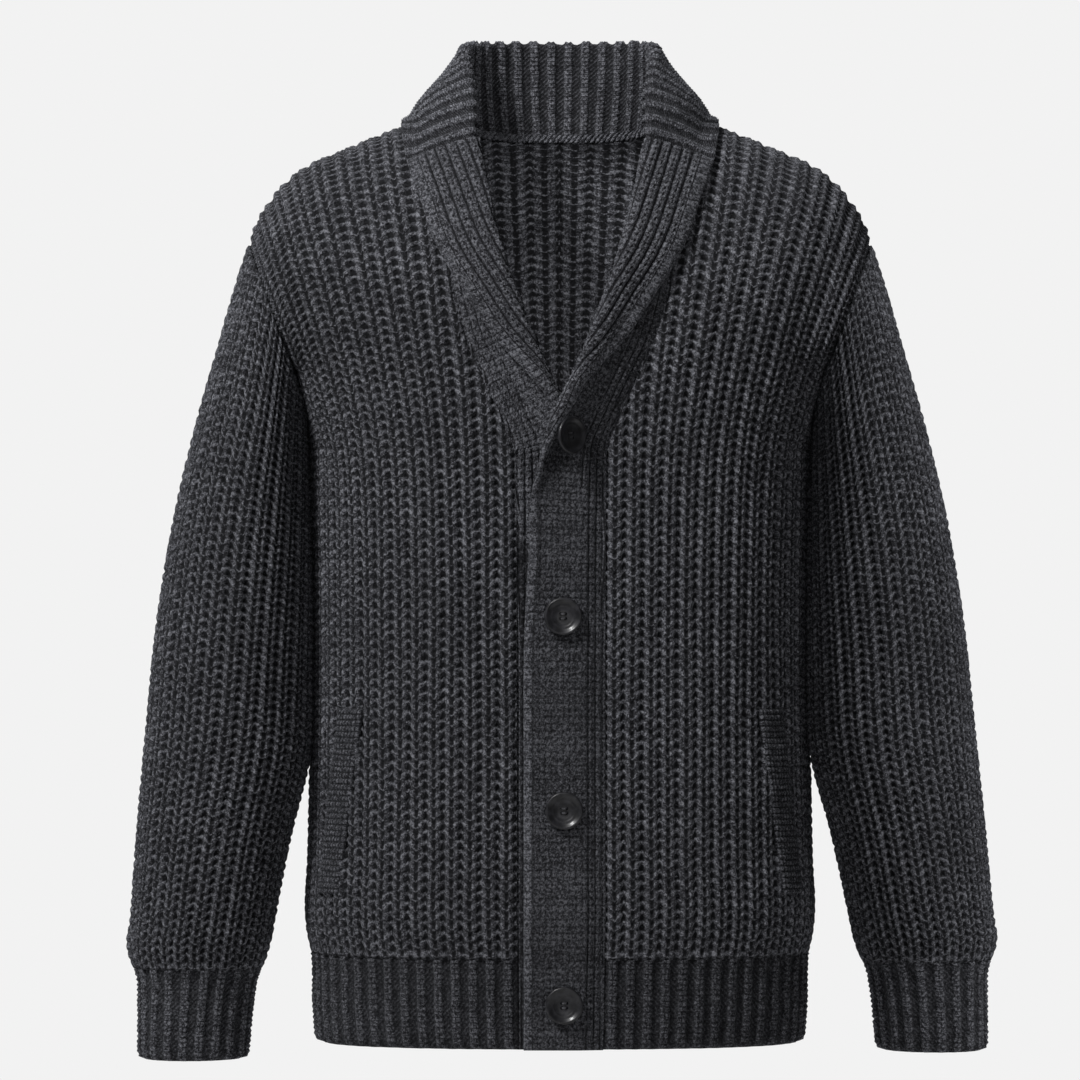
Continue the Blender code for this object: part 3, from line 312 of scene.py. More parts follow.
def upper_body(face, shares, climbs, inset):
    """Points above the chest ring: climb 0 is the ring, 1 the shoulder line, and past the cut the underarm."""
    shares, climbs = np.asarray(shares, float), np.asarray(climbs, float)
    share = np.abs(shares)
    ring = Ring(*BODY_RINGS[-1])
    depth = getattr(ring, face.name)

    def chest(at):
        x, out = quarter_ring(at, ring.half_width - inset, depth - inset)
        return np.stack([x, face.sign * out, np.full_like(x, CHEST_Z)], axis=-1)

    w = np.clip(share / face.cut, 0, 1)
    top = at_shares(moved_in(dense(SHOULDER), inset, -ARM_UP * TIP_LEAN), w)
    top = np.stack([top[:, 0], np.zeros_like(w), top[:, 1]], axis=-1)
    line = at_shares(moved_in(dense(face.line), -inset), climbs)
    line = np.stack([np.zeros_like(climbs), face.sign * line[:, 0], line[:, 1]], axis=-1)
    foot = chest(np.array([face.cut]))[0]
    pit_end = armhole(face, ARMHOLE_FRONT_TURN, inset)
    low = np.clip(climbs / ARMHOLE_CLIMB, 0, 1)[:, None]
    high = np.clip((climbs - ARMHOLE_CLIMB) / (1 - ARMHOLE_CLIMB), 0, 1)
    edge = np.where(
        (climbs < ARMHOLE_CLIMB)[:, None],
        foot + (pit_end - foot) * low,
        armhole(face, ARMHOLE_FRONT_TURN * (1 - high), inset),
    )
    bottom = chest(share)
    rise = smoothstep(climbs)[:, None, None]
    line_start = np.array([0, face.sign * (depth - inset), CHEST_Z])
    line_end = top[0] if w[0] == 0 else np.array([0, 0, SHOULDER[0, 1] - inset])
    line_part = line[:, None] - (1 - rise) * line_start - rise * line_end
    edge_part = edge[:, None] - (1 - rise) * foot - rise * armhole(face, 0.0, inset)
    grid = (1 - rise) * chest(np.minimum(share, face.cut))[None] + rise * top[None]
    w = w[None, :, None]
    grid = grid + (1 - w) * line_part + w * edge_part
    past = share > face.cut + 1e-6
    if past.any():
        k = (share[past] - face.cut) / (1 - face.cut)
        pit = armhole(face, ARMHOLE_FRONT_TURN + (math.pi - ARMHOLE_FRONT_TURN) * k, inset)
        grid[:, past] = bottom[past][None] + (pit - bottom[past])[None] * low[:, None]
    grid[..., 1] += -face.sign * fold_depth(face, share, climbs)
    grid[..., 0] *= np.where(shares < 0, -1.0, 1.0)
    return grid


def keep_on_side(face, grid):
    """Side and shoulder seams lie in the plane Y = 0: each face stops half a gap before it."""
    y = grid[..., 1]
    grid[..., 1] = np.minimum(y, -SEAM_GAP / 2) if face.sign < 0 else np.maximum(y, SEAM_GAP / 2)
    return grid


def body_grid(face, shares, heights, climbs, inset):
    """Lower rows at heights, then upper rows at climbs, whose first one is the chest ring itself."""
    rows = [lower_body(face, shares, heights, inset), upper_body(face, shares, climbs, inset)]
    return keep_on_side(face, np.concatenate(rows))


def back_neck_climb(share):
    """The climb at which the back at this share meets the neck edge, or 1 where it reaches the shoulder."""
    climbs = np.linspace(0, 1, 401)
    spots = upper_body(BACK, [share], climbs, 0.0)[:, 0]
    x = np.abs(spots[:, 0])
    past = (spots[:, 2] > np.interp(x, *BACK_NECK.T)) & (x < BACK_NECK[-1, 0])
    return climbs[np.argmax(past)] if past.any() else 1.0


def front_neck_share(climb):
    """The share at which the front at this climb meets the neck edge."""
    shares = np.linspace(BAND_SEAM_SHARE, 0.5, 401)
    spots = upper_body(FRONT, shares, [climb], 0.0)[0]
    neck_x = np.interp(spots[:, 2], FRONT_NECK[:, 1], FRONT_NECK[:, 0])
    return shares[np.argmax(spots[:, 0] >= neck_x)]


def wall_middle(face, share, climb):
    """The middle of the wall at one place of the chest or the back."""
    skins = [upper_body(face, [share], [climb], inset) for inset in (0.0, WALL)]
    return sum(keep_on_side(face, skin)[0, 0] for skin in skins) / 2


def back_neck_edge():
    """The middle of the wall along the back's neck edge, from the middle out to the shoulder."""
    spots = []
    for share in np.arange(0, RIBS_BACK + 1) / RIBS_BACK:
        end = back_neck_climb(share)
        spots.append(wall_middle(BACK, share, end))
        if end == 1.0:
            break
    return np.array(spots)


NECK_EDGE = np.array([wall_middle(FRONT, front_neck_share(climb), climb) for climb in NECK_CLIMBS])
BACK_EDGE = back_neck_edge()


def sleeve_outlines(inset):
    """The outer and inner outlines of the sleeve, seen from the front, one point for each ring."""
    outer, inner = SLEEVE_RINGS[:, :2], SLEEVE_RINGS[:, 2:4]
    outer_in = moved_in(outer, 1.0) - outer
    inner_in = -(moved_in(inner, 1.0) - inner)
    outer_in[0] = -ARM_UP * TIP_LEAN
    inner_in[0] = ARM_UP * UNDERARM_LEAN
    second = inner_in[1] + inner_in[0] * 0.5
    inner_in[1] = second / np.linalg.norm(second)
    return outer + inset * outer_in, inner + inset * inner_in


def sleeve_grid(stations, shares, inset):
    """Rings of the left sleeve at stations, which count SLEEVE_RINGS, with columns at shares of their length."""
    sizes = SLEEVE_RINGS[:, 4:] - [inset, 0]
    rings = smooth(np.arange(len(sizes)), np.concatenate([*sleeve_outlines(inset), sizes], axis=1), stations)
    turns = np.linspace(0, 2 * math.pi, 241)
    grid = []
    for outer_x, outer_z, inner_x, inner_z, depth, middle_y in rings:
        x = (outer_x + inner_x) / 2 - np.cos(turns) * (outer_x - inner_x) / 2
        z = (outer_z + inner_z) / 2 - np.cos(turns) * (outer_z - inner_z) / 2
        y = middle_y - np.sin(turns) * depth
        grid.append(at_shares(np.stack([x, y, z], axis=-1), shares))
    return np.array(grid)


def corners(grid):
    """The four corners of every face of a grid, one row for each face."""
    return np.stack([grid[:-1, :-1], grid[:-1, 1:], grid[1:, 1:], grid[1:, :-1]], axis=-1).reshape(-1, 4)


def body_surface():
    """The whole outer surface of chest, back and shoulders, neck opening filled, to lay things on."""
    vertices, faces = [], []
    shares = np.linspace(-1, 1, 81)
    heights = np.linspace(HEM_Z, CHEST_Z, 24)[:-1]
    for face in (FRONT, BACK):
        grid = body_grid(face, shares, heights, np.linspace(0, 1, 24), 0.0)
        index = np.arange(grid[..., 0].size).reshape(grid.shape[:2]) + len(vertices)
        vertices += [tuple(v) for v in grid.reshape(-1, 3)]
        faces += corners(index)[:, :: -face.sign].tolist()
    return BVHTree.FromPolygons(vertices, faces)


BODY = body_surface()


def chest_y(x, z):
    """Where the chest's outer surface is, straight ahead of this x and z."""
    hit = BODY.ray_cast(Vector((x, -1.0, z)), Vector((0, 1, 0)))[0]
    return hit.y if hit else 0.0


def lifted(spot, least):
    """The spot, moved out along the body's surface normal until it clears the body by least."""
    near, normal, _, _ = BODY.find_nearest(Vector(spot))
    clear = (Vector(spot) - near).dot(normal)
    return np.array(spot) + max(0.0, least - clear) * np.array(normal)


def section(stand, opens, turn, edge, bulge):
    """The middle of a rolled strip across its width: the stand, the roll at its end, and the fall to the edge."""
    ahead = unit(stand[-1] - stand[-3])
    away = unit(opens - ahead * opens.dot(ahead))
    if turn == 0:
        return stand
    bends = np.linspace(0, math.pi * turn, ROLL_POINTS + 1)[1:, None]
    roll = stand[-1] + ROLL_RADIUS * (np.sin(bends) * ahead + (1 - np.cos(bends)) * away)
    leaving = math.cos(math.pi * turn) * ahead + math.sin(math.pi * turn) * away
    start = roll[-1]
    reach = np.linalg.norm(edge - start)
    pull = start + leaving * reach * 0.35 + away * reach * bulge
    rest = edge + (pull - edge) * 0.4 + away * reach * (bulge + 0.06)
    rolled = smoothstep((turn - 0.8) / 0.2)
    edge = edge * rolled + (start + leaving * CURL * min(1, turn / 0.3)) * (1 - rolled)
    t = np.linspace(0, 1, 25)[1:, None]
    fall = (1 - t) ** 3 * start + 3 * t * (1 - t) ** 2 * pull + 3 * t * t * (1 - t) * rest + t**3 * edge
    if rolled > 0:
        least = (LAPEL_CLEAR + STRIP_WALL / 2) * rolled
        fall = np.array([lifted(spot, least) for spot in fall])
    return np.concatenate([stand, roll, fall])


def over_stand(stand, fall):
    """The fall of a lapel, moved forwards until it clears its own stand where it lies back over it."""
    order = np.argsort(stand[:, 0])
    least = np.interp(fall[:, 0], stand[order, 0], stand[order, 1]) - STRIP_WALL - LAPEL_CLEAR
    back_over = smoothstep((fall[:, 0] - stand[-1, 0]) / 0.004)
    made = fall.copy()
    made[:, 1] -= np.maximum(0, fall[:, 1] - least) * back_over
    return made


def strip_section(side, lap, at):
    """The middle line of a band or lapel at a station number, for one side: lap is `over` or `under`."""
    s = Station(*smooth(np.arange(len(STATIONS)), STATIONS, at))
    level = getattr(s, lap)
    turn = float(np.clip(getattr(s, lap + "_turn"), 0, 1))
    seam = strip_seam(s.seam_z)
    q = np.linspace(0, 1, STAND_POINTS)
    x = seam[0] + (s.roll_x - seam[0]) * q
    z = seam[2] + (s.roll_z - seam[2]) * q
    if lap == "under":
        out = -WALL / 2 + (level + WALL / 2) * smoothstep(q / 0.5)
    else:
        out = -WALL / 2 + LAP_RISE * smoothstep(q / 0.3) + (level + WALL / 2 - LAP_RISE) * q**1.4
    y = np.array([chest_y(a, b) for a, b in zip(x, z)]) - out
    y += (seam[1] - y[0]) * (1 - smoothstep(q / 0.3))
    stand = np.stack([x, y, z], axis=-1)
    edge = np.array([s.edge_x, chest_y(s.edge_x, s.edge_z) - EDGE_LIFT, s.edge_z])
    if turn < 0.03:
        turn = 0.0
    lean = np.clip((at - 10) / 3, 0, 1)
    line = section(stand, unit(LAPEL_OPENS * [lean, 1, lean]), turn, edge, 0.0)
    if turn > 0:
        falls = len(stand) + ROLL_POINTS
        line[falls:] = over_stand(stand, line[falls:])
    return line * np.array([side, 1, 1])


def strip_seam(seam_z):
    """Where the strip's seam is on the left front's inner edge at this height, a gap clear of it."""
    if seam_z <= NECK_EDGE[0][2]:
        z = min(max(seam_z, HEM_Z), CHEST_Z)
        x, y, _ = lower_body(FRONT, np.array([BAND_SEAM_SHARE]), [z], WALL / 2)[0, 0]
    else:
        x, y = between(seam_z, NECK_EDGE[:, 2], NECK_EDGE[:, :2])
    return np.array([x - SEAM_GAP * 5, y, seam_z])


def neck_spot(panel_name, number, lift):
    """A point above the neck edge: on the front at this height, or on the back at this x."""
    if panel_name == "front":
        return strip_seam(number) + np.array([0, 0, lift])
    y, z = between(number, BACK_EDGE[:, 0], BACK_EDGE[:, 1:])
    return np.array([max(number - SEAM_GAP * 4, 0), y, z + lift])


def collar_rows():
    """What collar_section blends between: the lapel's end, and the stations of the back collar."""
    s = Station(*STATIONS[-1])
    roll_y = chest_y(s.roll_x, s.roll_z) - s.over
    edge_y = chest_y(s.edge_x, s.edge_z) - EDGE_LIFT
    rows = [[*strip_seam(s.seam_z), s.roll_x, roll_y, s.roll_z, s.edge_x, edge_y, s.edge_z, *LAPEL_OPENS]]
    rows += [[*neck_spot(*station[:3]), *station[3:]] for station in COLLAR_STATIONS]
    return np.array(rows)


def collar_section(rows, at):
    """The middle line of the back collar at a number from 0, the left lapel's seam, to 6, the middle back."""
    seam, roll, edge, opens = smooth(np.arange(len(rows)), rows, at).reshape(4, 3)
    opens = unit(opens)
    q = np.linspace(0, 1, STAND_POINTS)[:, None]
    stand = seam + (roll - seam) * q + np.sin(math.pi * q) * 0.002 * opens
    return section(stand, opens, 1.0, edge, COLLAR_BULGE * min(at, 1))


# Knits. A rib's columns lie at shares of its width, its rows at shares of a stitch's height. Both tables give
# heights above the crest, in metres; `dip` is how deep the gap between two stitches is at each column, and
# `lean` how much higher a stitch is in the gap between two ribs than in the middle of a rib.

Knit = namedtuple("Knit", "at crest dip rows lean")
CHUNKY = Knit(
    at=(0.0, 0.10, 0.21, 0.33, 0.50, 0.67, 0.79, 0.90),
    crest=(-0.0020, -0.0016, -0.0002, 0.0006, -0.0010, 0.0006, -0.0002, -0.0016),
    dip=(0.0018, 0.0016, 0.0010, 0.0008, 0.0016, 0.0008, 0.0010, 0.0016),
    rows=(0.0, 0.34, 0.66),
    lean=0.60,
)
LADDER = Knit(  # the inside of the chunky knit, as it shows through the neck
    at=(0.0, 0.22, 0.50, 0.78),
    crest=(-0.0024, 0.0005, -0.0008, 0.0005),
    dip=(0.0002, 0.0008, 0.0004, 0.0008),
    rows=(0.0, 0.5),
    lean=0.30,
)
PAIRS = Knit(  # two fine columns, then a sunken band of purl
    at=(0.0, 0.14, 0.25, 0.36, 0.50, 0.64, 0.75, 0.86),
    crest=(-0.0024, -0.0022, -0.0014, 0.0004, -0.0005, 0.0004, -0.0014, -0.0022),
    dip=(0.0003, 0.0004, 0.0005, 0.0010, 0.0003, 0.0010, 0.0005, 0.0004),
    rows=(0.0, 0.5),
    lean=0.35,
)
LINKS = Knit(  # the narrow ribs of the lapels: two legs that bow round a hole
    at=(0.0, 0.15, 0.31, 0.5, 0.69, 0.85),
    crest=(-0.0021, -0.0012, 0.0004, -0.0002, 0.0004, -0.0012),
    dip=(0.0000, 0.0002, 0.0007, 0.0013, 0.0007, 0.0002),
    rows=(0.0, 0.5),
    lean=0.10,
)
SHALLOW = Knit(  # the narrow ribs of the welts
    at=(0.0, 0.25, 0.5, 0.75),
    crest=(-0.0011, -0.0003, 0.0003, -0.0003),
    dip=(0.0001, 0.0003, 0.0005, 0.0003),
    rows=(0.0, 0.5),
    lean=0.0,
)
PLAIN = Knit(at=(0.0, 0.5), crest=(-0.0003, 0.0003), dip=(0.0, 0.0), rows=(0.0,), lean=0.0)
LADDER_RATE = 1.3  # rows of the inside to a row of the outside

# How uneven the knit is
UNEVEN = 0.35  # the depth of the gaps between stitches, as a share of it
UNEVEN_RANGE = (0.3, 1.7)  # the least and the most of that depth
WANDER = 0.00012  # each point, up or down
RIB_WANDER = 0.00016  # each rib, up or down
RIB_OFFSET = 0.13  # each rib along its neighbours, in rows
DRIFT = 0.24  # slow waves of the rows, in rows
DRIFT_PITCH = (24, 14)  # how many lines and columns of points such a wave takes
SWERVE = 0.0009  # slow waves of the ribs
SWERVE_PITCH = (36, 10)
SWERVE_RIBS = 1.5  # within how many ribs of the edge these waves die away
FADE_ROWS = 1.2  # within how many rows of the edge all of them do, and the lean of the stitches
EASED = 0.38  # the share of its relief that a knit keeps beside ribbing
EASED_ROWS = 1.8  # how many rows away it has the whole of it
EASED_SINK = (0.8, 0.0004)  # within how many rows of the ribbing a knit sinks, and how deep


def knit_columns(knit, ribs):
    """Rib numbers of all columns, and for each its place in the knit's table."""
    u = (np.arange(ribs)[:, None] + np.array(knit.at)[None, :]).ravel()
    return np.append(u, float(ribs)), np.append(np.tile(np.arange(len(knit.at)), ribs), 0)


def knit_rows(knit, count):
    """Row numbers of all lines of points, and for each whether it is a gap between stitches."""
    at = np.array(knit.rows)
    v = (np.arange(count)[:, None] + at[None, :]).ravel()
    return np.append(v, float(count)), np.append(np.tile((at == 0).astype(float), count), 1.0)


def half_rows(count):
    """The same for rows of two lines each."""
    return np.arange(count) / 2, (np.arange(count) % 2 == 0).astype(float)


def relief(knit, kind, gap, seed, rib_of):
    """Heights of a knitted face, a row for each line of stitches and a column for each column of points."""
    random = np.random.default_rng(seed)
    crest = np.array(knit.crest)[kind][None, :]
    dip = np.array(knit.dip)[kind][None, :]
    uneven = 1 + UNEVEN * random.standard_normal((len(gap), len(kind)))
    wander = WANDER * random.standard_normal((len(gap), len(kind)))
    tall = RIB_WANDER * random.standard_normal((1, int(rib_of.max()) + 2))[:, rib_of.astype(int)]
    return crest - dip * gap[:, None] * np.clip(uneven, *UNEVEN_RANGE) + wander + tall


# Meshes


def smooth_normals(grid, closed=False):
    """Unit normals of a grid of points; the columns of a closed one go all round."""
    if closed:
        across = np.roll(grid, -1, axis=1) - np.roll(grid, 1, axis=1)
    else:
        across = np.gradient(grid, axis=1)
    normal = np.cross(across, np.gradient(grid, axis=0))
    return normal / np.maximum(np.linalg.norm(normal, axis=-1, keepdims=True), 1e-12)


def looking(normal, place, way):
    """The normals, turned round if the one at this place doesn't look this way along Y."""
    return -normal if normal[place][1] * way < 0 else normal


class Skin:
    """One face of a wall: its points, the mesh index of each place in the grid, and its map of stitches."""

    def __init__(self, spots, u, v, closed=False):
        rows, columns = spots.shape[:2]
        self.spots = spots
        self.index = np.arange(rows * columns).reshape(rows, columns)
        self.u = np.broadcast_to(u, (rows, columns)).copy()
        self.v = np.broadcast_to(v, (rows, columns)).copy()
        self.closed = closed

    def faces(self, start, flip):
        """Faces without repeated corners, each with its places on the map."""
        index, u, v = self.index, self.u, self.v
        if self.closed:
            index = np.concatenate([index, index[:, :1]], axis=1)
            u = np.concatenate([u, u[:, :1] * 0 + round(float(u.max()) + 0.01)], axis=1)
            v = np.concatenate([v, v[:, :1]], axis=1)
        quads, maps = corners(index), np.stack([corners(u), corners(v)], axis=-1)
        whole = (quads >= 0).all(axis=1)
        made = []
        for quad, spot in zip(quads[whole].tolist(), maps[whole]):
            kept = [k for k in range(4) if quad[k] not in quad[:k]][:: -1 if flip else 1]
            if len(kept) > 2:
                made.append(([quad[k] + start for k in kept], [tuple(spot[k]) for k in kept]))
        return made


def open_loops(faces):
    """The loops of edges that only one face has, in the direction that this face runs them."""
    used = set()
    for face in faces:
        used.update(zip(face, face[1:] + face[:1]))
    after = {a: b for a, b in used if (b, a) not in used}
    loops = []
    while after:
        loop = [min(after)]
        while loop[-1] in after:
            loop.append(after.pop(loop[-1]))
        loops.append(loop[:-1])
    return loops


def bridge(spots, loop_a, loop_b):
    """Triangles from one loop to the one behind it, which is given in the same direction."""
    first = int(np.argmin(np.linalg.norm(spots[loop_b] - spots[loop_a[0]], axis=1)))
    loop_b = loop_b[first:] + loop_b[:first]
    a_spots = spots[loop_a].tolist()
    b_spots = spots[loop_b].tolist()
    i = j = 0
    faces = []
    while i < len(loop_a) or j < len(loop_b):
        a, b = loop_a[i % len(loop_a)], loop_b[j % len(loop_b)]
        next_a, next_b = (i + 1) % len(loop_a), (j + 1) % len(loop_b)
        by_a = math.dist(a_spots[next_a], b_spots[j % len(loop_b)])
        by_b = math.dist(a_spots[i % len(loop_a)], b_spots[next_b])
        if j == len(loop_b) or (i < len(loop_a) and by_a <= by_b):
            faces.append([loop_a[next_a], a, b])
            i += 1
        else:
            faces.append([a, b, loop_b[next_b]])
            j += 1
    return faces


def build_mesh(name, spots, faces, look=None, maps=None, smooth_faces=True):
    """An object of these points and faces, with its map of stitches."""
    mesh = bpy.data.meshes.new(name)
    mesh.from_pydata([tuple(p) for p in spots], [], faces)
    if maps is None:
        maps = [[(0.0, 0.0)] * len(face) for face in faces]
    layer = mesh.uv_layers.new(name="knit")
    flat = np.array([spot for face in maps for spot in face], np.float32)
    layer.uv.foreach_set("vector", flat.ravel())
    mesh.polygons.foreach_set("use_smooth", np.full(len(faces), smooth_faces))
    mesh.validate()
    mesh.update()
    if look:
        mesh.materials.append(look)
    made = bpy.data.objects.new(name, mesh)
    bpy.context.scene.collection.objects.link(made)
    return made


def volume_of(spots, faces):
    fans = np.array([(f[0], f[k], f[k + 1]) for f in faces for k in range(1, len(f) - 1)])
    a, b, c = spots[fans[:, 0]], spots[fans[:, 1]], spots[fans[:, 2]]
    return float((a * np.cross(b, c)).sum() / 6)


def cloth(name, outer, inner, look, side=1):
    """A closed wall of two skins, bridged round their edges. It is mirrored where side is -1."""
    spots = np.concatenate([skin.spots.reshape(-1, 3) for skin in (outer, inner)])
    if side < 0:
        spots = spots * np.array([-1, 1, 1])
    front = outer.faces(0, False)
    back = inner.faces(outer.index.size, True)
    faces, maps = map(list, zip(*front, *back))
    inner_loops = [loop[::-1] for loop in open_loops([f for f, _ in back])]
    place = {}
    for f, m in front + back:
        place.update(zip(f, m))
    for loop in open_loops([f for f, _ in front]):
        middle = spots[loop].mean(axis=0)
        twin = min(inner_loops, key=lambda other: np.linalg.norm(spots[other].mean(axis=0) - middle))
        inner_loops.remove(twin)
        bridged = bridge(spots, loop, twin)
        faces += bridged
        maps += [[place[k] for k in face] for face in bridged]
    used = np.unique(np.concatenate([np.array(f) for f in faces]))
    renumber = np.full(len(spots), -1)
    renumber[used] = np.arange(len(used))
    faces = [[int(renumber[k]) for k in face] for face in faces]
    spots = spots[used]
    if volume_of(spots, faces) < 0:
        faces, maps = ([face[::-1] for face in rows] for rows in (faces, maps))
    return build_mesh(name, spots, faces, look, maps)


def along_columns(v_base, grid, v):
    """A grid moved along its own columns: v gives for each place which row of v_base it comes from."""
    return np.stack([between(v[:, c], v_base, grid[:, c]) for c in range(v.shape[1])], axis=1)


def sink(distance, reach, depth):
    """How much a face sinks towards a seam at this distance."""
    return depth * (1 - smoothstep(np.abs(distance) / reach))


def rounded(distance, radius):
    """How much of a wall's half thickness is gone at this distance from a free edge."""
    near = np.clip(1 - distance / radius, 0, 1)
    return 1 - np.sqrt(1 - near**2 * 0.998)


def smoothed(grid, times):
    """A grid smoothed along its columns, ends kept."""
    for _ in range(times):
        grid[1:-1] = (grid[:-2] + 2 * grid[1:-1] + grid[2:]) / 4
    return grid


def drift(rows, columns, pitch, seed):
    """A smooth random field over a grid, about 1 at most, that turns after some pitch places each way."""
    random = np.random.default_rng(seed)
    down = np.arange(rows) / pitch[0]
    along = np.arange(columns) / pitch[1]
    coarse = random.uniform(-1, 1, (int(down[-1]) + 2, int(along[-1]) + 2))
    i, j = down.astype(int), along.astype(int)
    a, b = smoothstep(down - i)[:, None], smoothstep(along - j)[None, :]
    top = coarse[i][:, j] * (1 - b) + coarse[i][:, j + 1] * b
    low = coarse[i + 1][:, j] * (1 - b) + coarse[i + 1][:, j + 1] * b
    return top * (1 - a) + low * a


def eased(height, rows_away):
    """The relief as it runs out into ribbing a few rows further on."""
    share = EASED + (1 - EASED) * smoothstep(rows_away / EASED_ROWS)
    return height * share[:, None] - sink(rows_away, *EASED_SINK)[:, None]


def stitched(knit, kind, u, v, v_base, base, normal, lean, fade, seed):
    """Points and normals of a face, whose stitches lean along the columns, and whose ribs drift both ways."""
    rib = np.floor(u).astype(int)
    offset = np.random.default_rng(seed + 50).uniform(-RIB_OFFSET, RIB_OFFSET, rib.max() + 2)[rib]
    in_gap = np.abs(np.array(knit.at)[kind] - 0.5) * 2
    shift = (lean * (in_gap - 0.5) + offset * (knit in (CHUNKY, LADDER)))[None, :]
    moved = v[:, None] + (shift + DRIFT * drift(len(v), len(u), DRIFT_PITCH, seed + 60)) * fade
    moved = np.clip(moved, 0, v[-1])
    spots = along_columns(v_base, base, moved)
    inside = smoothstep(np.minimum(u, np.ceil(u[-1]) - u) / SWERVE_RIBS)[None, :] * fade
    across = unit(np.gradient(spots, axis=1) + 1e-9)
    spots = spots + across * (SWERVE * inside * drift(len(v), len(u), SWERVE_PITCH, seed + 70))[..., None]
    normals = along_columns(v_base, normal, moved)
    return spots, normals / np.maximum(np.linalg.norm(normals, axis=-1, keepdims=True), 1e-9)


# Body panels

LOW_ROWS = 51  # from the hem to the chest ring
PIT_ROWS = 10  # from there to the underarm
HIGH_ROWS = PIT_ROWS / ARMHOLE_CLIMB
V_TOP = LOW_ROWS + HIGH_ROWS
V_PIT = LOW_ROWS + PIT_ROWS
BASE_STEP = 0.5  # rows between the lines that a panel's plain face is worked out on
CALM_FROM = (26, 12)  # from how many rows below the underarm on a panel is calmed, and in how many that begins
CALM_TO = (20, 9)  # up to how many rows above it, and in how many that ends
CALM_EDGE = 0.12  # how near the armhole that fades, as a share
CALM_TIMES = 110
SHOULDER_SINK = (0.7, 0.0006)  # within how many rows or ribs of a seam a panel sinks, and how deep
SIDE_SINK = (0.35, 0.0008)
ARM_SINK = (0.6, 0.0010)


def panel_base(face, shares, inset):
    """The plain face of a panel, and the row numbers of its lines."""
    low = np.arange(0, LOW_ROWS, BASE_STEP)
    high = np.append(np.arange(0, HIGH_ROWS, BASE_STEP), HIGH_ROWS)
    heights = HEM_SEAM_Z + low * ((CHEST_Z - HEM_SEAM_Z) / LOW_ROWS)
    grid = body_grid(face, shares, heights, high / HIGH_ROWS, inset)
    return np.concatenate([low, LOW_ROWS + high]), grid


def calmed(face, shares, v_base, base):
    """The panel with the turn of its surface at the armpits' level spread out, away from the armholes."""
    begins = smoothstep((v_base - V_PIT + CALM_FROM[0]) / CALM_FROM[1])
    here = begins * smoothstep((V_PIT + CALM_TO[0] - v_base) / CALM_TO[1])
    share = here[:, None] * smoothstep((face.cut - np.abs(shares)) / CALM_EDGE)[None, :]
    return base + (smoothed(base.copy(), CALM_TIMES) - base) * share[..., None]


def shares_of(face, u, ribs):
    """Shares at these rib numbers: of the front from the band to the side, of the back from side to side."""
    if face is BACK:
        return 2 * u / ribs - 1
    return BAND_SEAM_SHARE + (1 - BAND_SEAM_SHARE) * u / ribs


def panel_skin(face, ribs, knit, inset, seed, out, rate=1.0):
    """One face of a panel with its stitches: out is 1 for the outer and -1 for the inner face."""
    u, kind = knit_columns(knit, ribs)
    shares = shares_of(face, u, ribs)
    v_base, base = panel_base(face, shares, inset)
    base = calmed(face, shares, v_base, base)
    normal = looking(smooth_normals(base), (3, len(shares) // 2), face.sign)
    v, gap = knit_rows(knit, int(V_TOP * rate))
    v = v / rate
    keep = v < V_TOP - 0.35
    v, gap = np.append(v[keep], V_TOP), np.append(gap[keep], 1.0)
    past = np.abs(shares) > face.cut - 1e-6
    fade = smoothstep(v / FADE_ROWS) * smoothstep((V_TOP - v) / FADE_ROWS)
    fade = np.repeat(fade[:, None], len(u), axis=1)
    fade[:, past] *= smoothstep(np.abs(v - V_PIT) / FADE_ROWS)[:, None]
    spots, normals = stitched(knit, kind, u, v, v_base, base, normal, knit.lean, fade, seed)
    height = relief(knit, kind, gap, seed, np.floor(u))
    height = eased(height, v) - sink(V_TOP - v, *SHOULDER_SINK)[:, None]
    height = height - sink(np.minimum(u, ribs - u), *SIDE_SINK)[None, :]
    from_arm = np.abs(np.abs(shares) - face.cut) * (len(shares) / 8)
    on_arm = (v[:, None] > V_PIT - 0.5) & (np.abs(shares) <= face.cut + 1e-6)[None, :]
    height = height - np.where(on_arm, sink(from_arm, *ARM_SINK)[None, :], 0)
    spots = spots + normals * (height * out)[..., None]
    skin = Skin(keep_on_side(face, spots), u, v[:, None] * rate)
    above = v[:, None] > V_PIT + 0.01
    beyond = (np.abs(shares) > face.cut + 1e-6)[None, :]
    skin.index[above & beyond] = -1
    (clip_back if face is BACK else clip_front)(skin)
    return skin


def cut_at(line, past):
    """Where a line of points crosses an edge: the number of the first point past it, and the spot."""
    first = int(np.argmax(past > 0))
    share = -past[first - 1] / (past[first] - past[first - 1])
    return first, line[first - 1] + (line[first] - line[first - 1]) * share


def clip_front(skin):
    """Cuts a front off at its neck edge, row by row."""
    for r, line in enumerate(skin.spots):
        beyond = line[:, 0] - np.interp(line[:, 2], FRONT_NECK[:, 1], FRONT_NECK[:, 0])
        beyond[line[:, 2] < FRONT_NECK[0, 1]] = 1.0
        if beyond[0] < 0:
            first, spot = cut_at(line, beyond)
            skin.spots[r, first - 1] = spot
            skin.index[r, : first - 1] = skin.index[r, first - 1]
            skin.u[r, : first - 1] = skin.u[r, first - 1]


def clip_back(skin):
    """Cuts the back off at its neck edge, column by column."""
    for c in range(skin.spots.shape[1]):
        line = skin.spots[:, c]
        x = np.abs(line[:, 0])
        above = line[:, 2] - np.interp(x, *BACK_NECK.T)
        above[(x > BACK_NECK[-1, 0]) | (line[:, 2] < -0.02)] = -1.0
        if above.max() > 0:
            first, spot = cut_at(line, above)
            skin.spots[first, c] = spot
            skin.index[first + 1 :, c] = skin.index[first, c]
            skin.v[first + 1 :, c] = skin.v[first, c]


